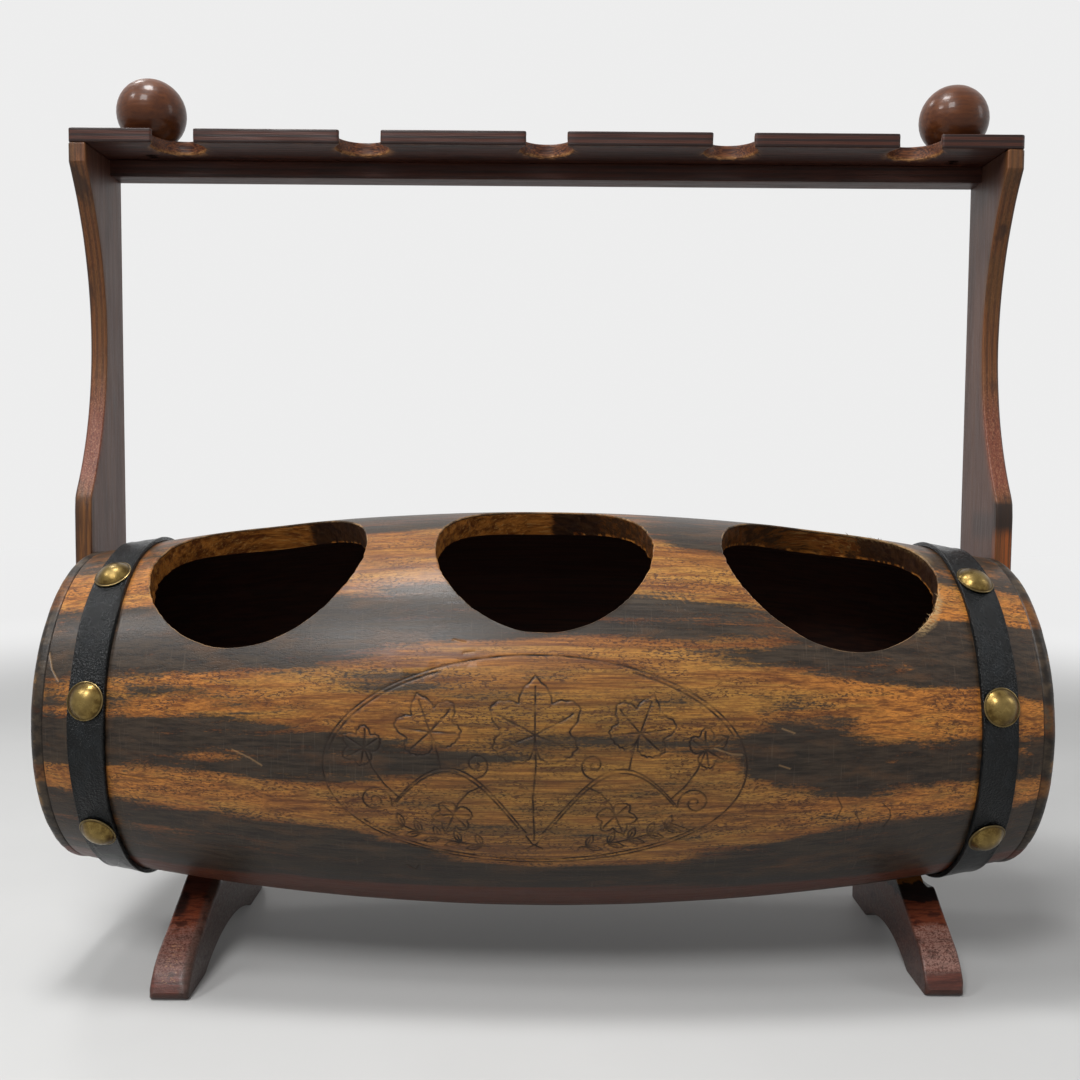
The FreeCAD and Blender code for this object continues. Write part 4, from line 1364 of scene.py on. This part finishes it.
def shelf_finish():
    made = new_finish("shelf_plywood")
    grain = made.noise((90, 2.4, 2.4), detail=4, roughness=0.62, distortion=0.3)
    fine = made.noise((22, 0.8, 0.7), detail=3, roughness=0.6, shift=(2, 5, 1))
    patches = made.noise((40, 14, 14), detail=3, roughness=0.6, shift=(6, 2, 8))
    splintered = made.noise((5, 5, 3), detail=4, roughness=0.7, shift=(5, 2, 1))
    height = made.parts()[2]
    face = made.coats(
        made.mix(grain.step(0.3, 0.7), (36, 18, 13), (74, 38, 26)),
        (patches.step(0.52, 0.7, 0, 0.5), (26, 16, 13)))
    lowest = height.step(shelf_bottom + 2.4, shelf_bottom + 0.6) * splintered.step(0.4, 0.56, 0.25, 0.95)
    torn = made.coats(
        made.mix(fine.step(0.42, 0.62), (50, 24, 15), (112, 66, 38)),
        (lowest, made.mix(fine.step(0.4, 0.6), (120, 76, 42), (178, 130, 80))))
    layers = (height - (shelf_bottom - 0.4)) * (1 / shelf_layer)
    edge = made.coats(
        plywood(made, layers, grain, (70, 38, 28), (38, 22, 18), (14, 9, 8)),
        (fine.step(0.48, 0.66, 0, 0.65), (36, 20, 18)),
        (made.paint("notch") * 0.8, torn))
    rises = grain * 0.5 + fine * 0.6
    return made.set(Base_Color=made.mix(made.paint("cut"), face, edge), Normal=made.bump(rises, 0.2),
                    Roughness=fine.step(0.3, 0.7, 0.38, 0.55), Specular_IOR_Level=wood_specular)


shelf_wood = shelf_finish()
make_piece("glass_shelf", shelf_sheets(), ["shelf"], shelf_wood)

# %% [markdown]
# ## Back rail
# A thin rail below the shelf's back edge stiffens it between the posts. It is a long stack of rectangles
# with planed edges and a little wander.

# %% Back rail
rail_low, rail_high = node_box("back_rail")
stations = np.unique(np.concatenate([np.linspace(rail_low[0], rail_high[0], 60), rail_low[0] + [0.3, 0.8],
                                     rail_high[0] - [0.3, 0.8]]))
loop = rounded_loop(rail_low[1] + 0 * stations, rail_high[1], rail_low[2], rail_high[2],
                    (0.4, 0.4, 1.0, 0.8), 4, 5)
rail_points = stacked(loop, stations, 0)
planed = 0.1 * (1 + wobble(rail_points, (60, 9, 9), seed=95))
rail_points[..., 1] += planed * step(3, 0, rail_points[..., 1] - rail_low[1])
rail_sheet = sheet(capped(rail_points), close_columns=True, cut=0.35)
make_piece("shelf_back_rail", [rail_sheet], ["back_rail"], shelf_wood)

# %% [markdown]
# ## Turned balls
# The balls were turned on a lathe, so they are a circle turned about an upright axis, with a flat where they
# stand on the shelf, and they keep fine rings from the lathe.

# %% Turned balls
def ball_sheets(word):
    low, high = node_box("finial_" + word)
    radius = (high[0] - low[0]) / 2
    centre = np.array([(low[0] + high[0]) / 2, (low[1] + high[1]) / 2, high[2] - radius])
    down = np.arccos((centre[2] - low[2]) / radius)
    turn = np.linspace(0, np.pi - down, 54)
    height = np.concatenate([radius * np.cos(turn), [low[2] - centre[2]] * 3])
    across = np.concatenate([radius * np.sin(turn), radius * np.sin(down) * np.array([0.7, 0.3, 0])])
    around = np.linspace(0, 2 * np.pi, 97)[:-1, None]
    ringed = across - 0.03 * (1 + np.sin(height * 2.1)) * step(0, 3, across)
    points = np.stack([ringed * np.cos(around), ringed * np.sin(around), height + 0 * around], axis=-1)
    hollow = 0.06 * (1 + wobble(points, 14, seed=int(100 + radius))) * step(0, 5, across)
    points = points * (1 - hollow / radius * (height > height[-1] + 0.3))[..., None]
    return [sheet(points + centre, close_rows=True)]


def ball_finish():
    made = new_finish("turned_ball_wood")
    tilt = (0.3, 0.5, 0.2)
    grain = made.noise((26, 3.0, 3.0), detail=4, roughness=0.6, distortion=0.5, turn=tilt)
    fine = made.noise((6, 0.8, 0.8), detail=3, shift=(1, 3, 3), turn=tilt)
    patches = made.noise((16, 16, 16), detail=2, shift=(5, 1, 2))
    wood = made.coats(
        made.mix(grain.step(0.3, 0.7), (64, 31, 12), (88, 47, 20)),
        (fine.step(0.5, 0.7, 0, 0.25), (40, 18, 10)),
        (patches.step(0.5, 0.75, 0, 0.4), (56, 27, 17)))
    return made.set(Base_Color=wood, Normal=made.bump(fine, 0.05),
                    Roughness=fine.step(0.3, 0.7, 0.34, 0.42),
                    Specular_IOR_Level=0.16, Coat_Weight=0.22, Coat_Roughness=0.1, Coat_IOR=varnish_ior)


make_pair("turned_ball", ball_sheets, "finial", ball_finish())

# %% [markdown]
# ## Feet
# A foot is a thick arched board that stands across the barrel. From the side its back falls straight from
# the barrel and bends round to the toe, its underside is an arch between the two soles, and its seat takes
# the barrel's own curve. The sections are stacked from the front toe to the back one. Wherever a section
# would reach into the barrel or the strap, it is squeezed to end just below. The left foot's inner edge was
# planed off wider.

# %% Feet
foot_thickness, sole_length, arch_height, toe_radius = 19.4, 31.0, 10.0, 4.0
half_saddle = 12.0

# Where the straight back turns into the bow, and a point on the bow: shares of the half span and the seat
turn_across, turn_up = 0.74, 0.54
bow_across, bow_up = 0.915, 0.33
toe_corner = 2.6

# Radii of the four long edges: the upper right one first, then the upper left, lower left and lower right
edge_rounding = {"left": (4.6, 2.4, 0.9, 0.9), "right": (1.2, 1.6, 0.9, 0.9)}
seat_gap = 0.25


def circle_through(first, second, third):
    """Centre and radius of the circle through three points of the upright plane."""
    points = np.array([first, second, third], float)
    left = 2 * (points[1:] - points[0])
    right = (points[1:] ** 2).sum(axis=1) - (points[0] ** 2).sum()
    centre = np.linalg.solve(left, right)
    return centre, np.linalg.norm(points[0] - centre)


def foot_sheets(word):
    low, high = node_box("foot_" + word)
    middle_x = (low[0] + high[0]) / 2
    half_span = high[1]
    seat = axis_height - barrel_radius(middle_x)
    outboard = barrel_radius(abs(middle_x) + foot_thickness / 2)
    saddle = axis_height - np.sqrt(outboard ** 2 - half_saddle ** 2)
    toe_end = half_span - toe_radius
    across = np.concatenate([half_span - toe_radius * (1 - np.cos(np.radians([0, 20, 40, 60, 80]))),
                             np.linspace(toe_end - 0.6, half_saddle, 38),
                             np.linspace(half_saddle - 2, 0, 6)])
    across = np.concatenate([-across, across[-2::-1]])
    size = np.abs(across)
    turn_size, turn_height = turn_across * half_span, turn_up * seat
    centre, radius = circle_through((half_span, toe_radius), (bow_across * half_span, bow_up * seat),
                                    (turn_size, turn_height))
    curved = centre[1] + np.sqrt(np.maximum(radius ** 2 - (size - centre[0]) ** 2, 0))
    fall = (saddle - turn_height) / (turn_size - half_saddle)
    top = np.where(size > turn_size, curved, saddle - fall * np.clip(size - half_saddle, 0, None))
    toe = toe_radius - np.sqrt(np.maximum(toe_radius ** 2 - np.clip(size - toe_end, 0, None) ** 2, 0))
    half_arch = half_span - sole_length
    arch_radius = (half_arch ** 2 + arch_height ** 2) / (2 * arch_height)
    arch = np.sqrt(arch_radius ** 2 - np.minimum(size, half_arch) ** 2) - (arch_radius - arch_height)
    bottom = np.maximum(toe, arch * (size < half_arch))
    top = np.maximum(top, bottom + 0.4)
    pinch = toe_corner - np.sqrt(toe_corner ** 2 - np.clip(size - half_span + toe_corner, 0, None) ** 2)
    loop = rounded_loop(low[0] + pinch, high[0] - pinch, bottom, top, edge_rounding[word], 5, 8)
    points = stacked(loop, across, 1)
    dip = 0.15 * (1 + wobble(points, (8, 14, 14), seed=110 + int(middle_x > 0)))
    dip *= np.minimum((top - bottom) / toe_radius, 1)[:, None]
    bottom, thickness = bottom[:, None], (top - bottom)[:, None]
    upper = step(0.3, 0.8, (points[..., 2] - bottom) / thickness)
    points[..., 2] -= dip * upper
    in_strap = np.abs(np.abs(points[..., 0]) - strap_middle) < (strap_outer - strap_inner) / 2 + seat_gap
    lift = seat_gap + in_strap * (strap_clearance + strap_thickness + nail_height)
    ceiling = axis_height - np.sqrt((barrel_radius(points[..., 0]) + lift) ** 2 - points[..., 1] ** 2)
    squeeze = np.minimum((ceiling - bottom) / thickness, 1)
    points[..., 2] = bottom + (points[..., 2] - bottom) * squeeze
    from_side = np.minimum(loop[..., 0] - low[0], high[0] - loop[..., 0]) - pinch[:, None]
    back = np.pad(step(0.1, 1.2, from_side) * upper, ((3, 3), (0, 0)), mode="edge")
    return [sheet(capped(points), close_columns=True, back=back)]


def foot_finish():
    """Zones across the board from the top down: golden stain below the barrel, then a black band, red-brown
    stain, a pale, pitted zone that is partly rubbed where hands hold it and partly a painted sheen of light
    on the rounded front, and dark again at the toe. The left foot's zones are weaker."""
    made = new_finish("stained_feet")
    grain = made.noise((26, 5, 1.8), detail=4, roughness=0.62, distortion=0.5)
    fine = made.noise((9, 1.4, 0.7), detail=3, roughness=0.6, shift=(2, 5, 1))
    patches = made.noise((9, 9, 6), detail=3, roughness=0.6, shift=(6, 2, 8))
    pits = made.noise((1.1, 0.9, 0.8), detail=2, roughness=0.6, distortion=0.8, shift=(1, 9, 4))
    across, _, height = made.parts()
    right, back = across.step(-10, 10), made.paint("back")
    ripple = height + (patches - 0.5) * 7.0

    def zone(low, high, soft, left_amount, right_amount):
        """One between these heights, fading over the soft length, in the given strength on either foot."""
        inside = ripple.step(low - soft, low) * ripple.step(high + soft, high)
        return inside * right.step(0, 1, left_amount, right_amount)

    planed = across.step(-181.5, -178.5) * right.step(1, 0, 0, 0.6)
    middle = across.step(-190.5, -188) * across.step(-180, -185)
    speckle = zone(9, 20, 2.0, 0.75, 0.0) * pits.step(0.58, 0.66) * (middle * back)
    wood = made.coats(
        made.mix(grain.step(0.3, 0.7), (58, 28, 22), (104, 56, 44)),
        (zone(26, 35, 2.5, 0.75, 0.7), made.mix(fine.step(0.36, 0.62), (74, 32, 20), (134, 66, 38))),
        (0.6 - back * 0.6, made.mix(grain, (66, 48, 42), (92, 68, 60))),
        # Partly rubbed wear and partly painted sheen: pale and pitted across the rounded front of the feet.
        (zone(14, 25, 4.0, 0.5, 0.95) * pits.step(0.4, 0.56, 0.12, 0.85) * back, (162, 124, 112)),
        (zone(41.5, 60, 0.8, 0.15, 0.9), made.mix(grain, (96, 56, 24), (160, 104, 44))),
        (zone(35.8, 41.0, 0.9, 0.25, 0.94), (20, 17, 17)),
        (across.step(-186.5, -190) * zone(29.5, 35, 1.5, 0.9, 0.0), (22, 16, 16)),
        (planed, made.mix(patches, (44, 36, 34), (92, 80, 72))),
        (speckle, (176, 130, 84)),
        (patches.step(0.56, 0.66, 0, 0.6), (40, 22, 19)),
        (fine.step(0.5, 0.7, 0, 0.45), (50, 24, 19)),
        (ripple.step(9, 2, 0, 0.4), (46, 24, 19)))
    rises = grain * 0.6 + pits * 0.8
    return made.set(Base_Color=wood, Normal=made.bump(rises, 0.25),
                    Roughness=fine.step(0.3, 0.7, 0.32, 0.48),
                    Specular_IOR_Level=wood_specular, Coat_Weight=0.14, Coat_Roughness=0.26,
                    Coat_IOR=varnish_ior)


make_pair("arched_foot", foot_sheets, "foot", foot_finish())

# %% [markdown]
# ## Screws and brads
# The screws and brads already have their true shape in the frame, so they keep it and only get a finish:
# zinc that has dulled, with a slight brushed grain.

# %% Screws and brads
def steel_finish():
    made = new_finish("dull_zinc")
    brushed = made.noise((0.25, 3, 3), detail=3)
    dull = made.noise((2, 2, 2), detail=3, shift=(1, 2, 3))
    return made.set(Base_Color=made.mix(dull, (120, 116, 108), (176, 174, 168)), Metallic=1.0,
                    Roughness=brushed.step(0.3, 0.7, 0.36, 0.52), Normal=made.bump(brushed, 0.01))


steel = steel_finish()
fasteners = [name for name in nodes if name.endswith(("_screws", "_brads"))]
for name in fasteners:
    nodes[name].data.materials.clear()
    nodes[name].data.materials.append(steel)
print("zinc on", ", ".join(fasteners))

# %% [markdown]
# ## Floor and backdrop
# The rack stands on a pale, nearly matt floor. For the camera, and in reflections, the floor adds a little
# of its own light, and more the farther it is away, until it can't be told from the room. The rack's shadow
# stays.

# %% Floor
room_light, room_white = 0.2, 0.85
fade_start, fade_end = 550.0, 1700.0


def seen_directly(network):
    """One for rays that come from the camera, off something glossy or through something, zero for the
    others."""
    camera_ray, glossy, through = network.add(
        "ShaderNodeLightPath", output=("Is Camera Ray", "Is Glossy Ray", "Is Transmission Ray"))
    return network.math("ADD", camera_ray + glossy, through, clamp=True)


def floor_finish():
    made = new_finish("pale_floor")
    cloudy = made.noise((260, 260, 260), detail=4)
    away = made.add("ShaderNodeVectorMath", [(0, made.place())], output="Value", operation="LENGTH")
    far = away.step(fade_start, fade_end)
    pale = made.mix(cloudy, (182, 182, 181), (198, 198, 197))
    glow = far.step(0.0, 1.0, 0.04, room_white - 0.09)
    return made.set(Base_Color=made.mix(far, pale, (0, 0, 0)), Roughness=0.6, Specular_IOR_Level=0.2,
                    Emission_Color=linear((255, 255, 255)), Emission_Strength=seen_directly(made) * glow)


floor_half = 3000.0
x, y = np.meshgrid(np.linspace(-floor_half, floor_half, 13), np.linspace(-floor_half, floor_half, 13))
floor_mesh = build_mesh("pale_floor", [sheet(np.stack([x, y, 0 * x], axis=-1))])
floor = bpy.data.objects.new("pale_floor", floor_mesh)
bpy.context.scene.collection.objects.link(floor)
floor_mesh.materials.append(floor_finish())
floor_mesh.flip_normals()

# %% [markdown]
# ## Light
# A photograph of varnished wood lives from soft reflections. One lamp hangs above the barrel, where it lays
# the grey sheen along its top, another stands in front and above for the colours, a third comes from the
# left, and two weak ones, behind and on the right, open the shadows. The world adds an even pale light.

# %% Lamps and world
def lamp(name, power, width, depth, position, target=(0, 0, 0.2)):
    """A soft rectangular lamp, in watts and metres, that faces the target."""
    data = bpy.data.lights.new(name, "AREA")
    data.energy, data.shape, data.size, data.size_y = power, "RECTANGLE", width, depth
    made = bpy.data.objects.new(name, data)
    made.location = position
    made.rotation_euler = (Vector(target) - Vector(position)).to_track_quat("-Z", "Y").to_euler()
    bpy.context.scene.collection.objects.link(made)


lamp("lamp_above", 13, 0.3, 0.3, (-0.26, -0.2, 1.5))
lamp("lamp_front", 17, 0.5, 0.5, (-0.45, -1.2, 1.45))
lamp("lamp_left", 8, 0.3, 0.3, (-1.2, -0.62, 1.45))
lamp("lamp_behind", 3, 0.25, 0.25, (-0.8, 0.7, 1.6))
lamp("lamp_right", 3, 0.4, 0.6, (1.6, -0.3, 0.9))

world = bpy.data.worlds.new("pale_room")
bpy.context.scene.world = world
room = Network(world, "Background")
room.set(Color=(1.0, 1.0, 1.0, 1.0), Strength=seen_directly(room).step(0, 1, room_light, room_white))
bpy.context.scene.view_settings.view_transform = "Standard"

# %% [markdown]
# ## Camera
# The photograph was taken from a little above the barrel, close in front of it. Its lens and place come from
# fitting the rack's own edges and holes to the picture, which also gave the camera's slight turns.

# %% Camera
camera_place = (-3.3, -634.6, 265.1)
camera_turns = {"left": -0.10, "up": -3.52, "roll": -0.41}
picture_size, focal_pixels, sensor = 1080, 1150.0, 36.0

camera_data = bpy.data.cameras.new("camera")
camera_data.sensor_width = sensor
camera_data.lens = focal_pixels / picture_size * sensor
camera = bpy.data.objects.new("camera", camera_data)
turns = {word: np.radians(angle) for word, angle in camera_turns.items()}
looking = (Matrix.Rotation(turns["left"], 3, "Z") @ Matrix.Rotation(turns["up"], 3, "X")
           @ Matrix.Rotation(turns["roll"], 3, "Y") @ Matrix.Rotation(np.pi / 2, 3, "X"))
camera.matrix_world = Matrix.Translation(Vector(camera_place) * MM) @ looking.to_4x4()
bpy.context.scene.collection.objects.link(camera)
bpy.context.scene.camera = camera
print("lens %.1f mm" % camera_data.lens)
